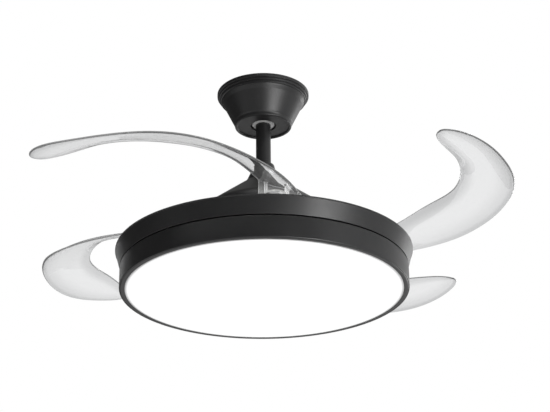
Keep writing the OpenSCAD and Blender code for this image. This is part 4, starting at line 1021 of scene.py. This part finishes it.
def foldedBlade():
    piece = addObject("bladeMaster", bladeSkin())
    high = footHeight + blade["footThick"]
    ribs = [ribMesh(-blade["armRadius"] + blade["ribThick"]), ribMesh(blade["armRadius"])]
    for mesh in [endWall(), rootSolid("foot", footOutline(), footHeight, high)] + ribs:
        cutWith(piece, addObject("rootPart", mesh), "UNION")
    sides = blade["holeSides"]
    for x, y in blade["screwSpots"]:
        circle = [polar(blade["screwHole"], math.tau * k / sides, x, y) for k in range(sides)]
        cutWith(piece, addObject("hole", rootSolid("hole", circle, footHeight - 1, high + 1)))
    return piece


def edgeReach(point):
    # distances of a point of the pan from the outer and the inner edge in mm, 1 on the root's other parts,
    # which count as far away, and the share of the blade's length
    t = (math.degrees(math.atan2(point.y, point.x)) - blade["rootBearing"]) / bladeTurn
    t = max(0.0, min(blade["lastShare"], t))
    r = point.to_2d().length
    outer, inner = outerRadius(t), innerRadius(t)
    s = max(0.0, min(1.0, (outer - r) / max(blade["leastWidth"], outer - inner)))
    if point.z < panHeight(t, s) - blade["rootDepth"]:
        return blade["farReach"], blade["farReach"], 1.0, t
    return max(0.0, outer - r), max(0.0, r - inner), 0.0, t


def buildBlades():
    master = foldedBlade()
    marks = list(zip(*(edgeReach(v.co) for v in master.data.vertices)))
    for i, pivot in enumerate(pivots):
        mesh = master.data.copy()
        place = Matrix.Translation((pivot.x, pivot.y, lampFace)) @ turnZ(pivotBearing + 90 * i, 4)
        for v in mesh.vertices:
            v.co = place @ (toOpen(v.co) / 1000)
        for label, values in zip(bladeMarks, marks):
            mesh.attributes.new(label, "FLOAT", "POINT").data.foreach_set("value", values)
        piece = addObject(f"clear_blade_{i + 1}", mesh)
        dress(piece, f"blade_{i + 1}", f"blade_arm_{i + 1}", blade["sharpAt"])
    bpy.data.objects.remove(master)


buildBlades()
print("blades built")


# Screws and springs: Geometry Nodes trees set copies at the points of a mesh

def copiesTree():
    tree, given, sockets = newTree("copiesAtPoints", {
        "Pattern": "Object", "Turned Over": "Float", "Seed": "Int"})
    pattern = addNode(tree, "GeometryNodeObjectInfo", {"Object": given["Pattern"]})
    anyTurn = addNode(tree, "FunctionNodeRandomValue", {3: math.tau, "Seed": given["Seed"]})
    over = times(tree, given["Turned Over"], math.pi)
    tilt = addNode(tree, "ShaderNodeCombineXYZ", {"X": over, "Z": anyTurn.outputs[1]})
    made = addNode(tree, "GeometryNodeInstanceOnPoints", {
        "Points": given["Geometry"], "Instance": pattern.outputs["Geometry"], "Rotation": tilt.outputs[0]})
    endTree(tree, given, made.outputs[0])
    return tree, sockets


copies, screwSeed = copiesTree(), 7

# shank radius, length, head radius and head height in mm, and the height of the seat above the lamp's face
bladeScrews = {"size": (2.0, 6.5, 4.2, 2.4), "seat": footHeight + blade["footThick"], "over": 0.0,
               "steps": 28}
ringScrews = {
    "tray_screws": {"size": (2.5, 6.5, 4.5, 2.4), "seat": 70.2, "over": 1.0,
                    "rings": (tray["screws"],), "body": "rotor"},
    "cover_screws": {"size": (1.5, 5.0, 2.8, 1.8), "seat": dome["top"], "over": 0.0,
                     "rings": (dome["screws"],), "body": "hanging"},
    "case_screws": {"size": (1.5, 8.5, 2.6, 2.0), "seat": 104, "over": 0.0,
                    "rings": ((6, 99, 30),), "body": "rotor"},
    "hub_screws": {"size": (2.0, 5.0, 3.8, 2.2), "seat": 36.5, "over": 1.0,
                   "rings": (lampCase["screws"],), "body": "hanging"},
    "board_screws": {"size": (1.4, 5.0, 2.8, 1.6), "seat": 30, "over": 1.0, "steps": 16,
                     "rings": lampCase["posts"], "body": "hanging"},
}
# shares of the head's radius and height with a rounding in mm, then the cross recess in the same shares
headCorners = ((1, 0, 0.12), (1, 0.35, 0.5), (0.72, 0.9, 1.2), (0.3, 1, 0.4), (0, 1, 0))
recess = {"wide": 0.58, "narrow": 0.13, "low": 0.4, "high": 1.4}


def recessBlock(a, b, low, high):
    square = ((-1, -1), (1, -1), (1, 1), (-1, 1))
    rings = [[(x * a / 1000, y * b / 1000, z / 1000) for x, y in square] for z in (low, high)]
    return addObject("recess", loft("recess", rings))


def screwPattern(shank, length, headRadius, headHeight, steps):
    # pan head with a cross recess, chamfered shank below
    corners = [(0, -length, 0), (shank * 0.55, -length, 0.05), (shank, -length + shank * 0.5, 0.1),
               (shank, -0.05, 0.05)] + [(headRadius * r, headHeight * h, f) for r, h, f in headCorners]
    outline = roundedOutline(corners, closed=False, steps=3, support=0.0)
    pattern = turned("screwPattern", outline, "cover_screws", steps)
    wide, narrow = headRadius * recess["wide"], headRadius * recess["narrow"]
    for a, b in ((wide, narrow), (narrow, wide)):
        cutWith(pattern, recessBlock(a, b, headHeight * recess["low"], headHeight * recess["high"]))
    return pattern


def setScrews(kind, rows):
    # one pattern serves all rows of name, places, node and body
    pattern = screwPattern(*kind["size"], kind.get("steps", 24))
    for name, spots, node, body in rows:
        piece = addObject(name, meshFrom(name, [(x, y, lampHeight(kind["seat"])) for x, y in spots], []))
        runTree(piece, copies, node, {"Pattern": pattern, "Turned Over": kind["over"], "Seed": screwSeed})
        dress(piece, node, body)
    bpy.data.objects.remove(pattern)


def rootSpots(i):
    pivot, turn = pivots[i - 1], turnZ(pivotBearing + 90 * (i - 1) + foldAngle)
    return [(pivot + turn @ Vector((x / 1000, y / 1000, 0))).to_2d() for x, y in blade["screwSpots"]]


def buildScrews():
    setScrews(bladeScrews, [
        (f"root_screws_{i}", rootSpots(i), f"blade_screws_{i}", f"blade_arm_{i}") for i in (1, 2, 3, 4)])
    for node, kind in ringScrews.items():
        setScrews(kind, [(f"turned_{node}", allSpots(kind["rings"]), node, kind["body"])])


spring = {"radius": 12.01, "wire": 0.8, "curls": 4, "pitch": 2.1, "low": 60.7, "stepsPerCurl": 24,
          "wireSides": 10, "sharpAt": 60}


def springTree():
    tree, given, sockets = newTree("coilAtPoints", {
        "Radius": "Float", "Wire": "Float", "Curls": "Float", "Height": "Float", "Steps": "Int"})
    coil = addNode(tree, "GeometryNodeCurveSpiral", {
        "Resolution": given["Steps"], "Rotations": given["Curls"], "Start Radius": given["Radius"],
        "End Radius": given["Radius"], "Height": given["Height"]})
    wire = addNode(tree, "GeometryNodeCurvePrimitiveCircle", {
        "Resolution": spring["wireSides"], "Radius": given["Wire"]})
    tube = addNode(tree, "GeometryNodeCurveToMesh", {
        "Curve": coil.outputs[0], "Profile Curve": wire.outputs[0], "Fill Caps": True})
    made = addNode(tree, "GeometryNodeInstanceOnPoints", {
        "Points": given["Geometry"], "Instance": tube.outputs[0]})
    endTree(tree, given, made.outputs[0])
    return tree, sockets


def buildSprings():
    spots = [(p.x, p.y, lampHeight(spring["low"])) for p in pivots]
    piece = addObject("coiled_springs", meshFrom("coiled_springs", spots, []))
    runTree(piece, springTree(), "return_springs", {
        "Radius": spring["radius"] / 1000, "Wire": spring["wire"] / 1000, "Curls": float(spring["curls"]),
        "Height": spring["pitch"] * spring["curls"] / 1000, "Steps": spring["stepsPerCurl"]})
    faceOutwards(piece.data)
    dress(piece, "return_springs", "rotor", spring["sharpAt"])


buildScrews()
buildSprings()
print("screws and springs built")


# Everything else keeps its CAD shape and gets its finish

def finishCadNodes():
    for name, node in frame["nodes"].items():
        node.data.materials.clear()
        node.data.materials.append(paints[slotFinish[nodeSlot[name]]])


finishCadNodes()
print("CAD nodes finished")
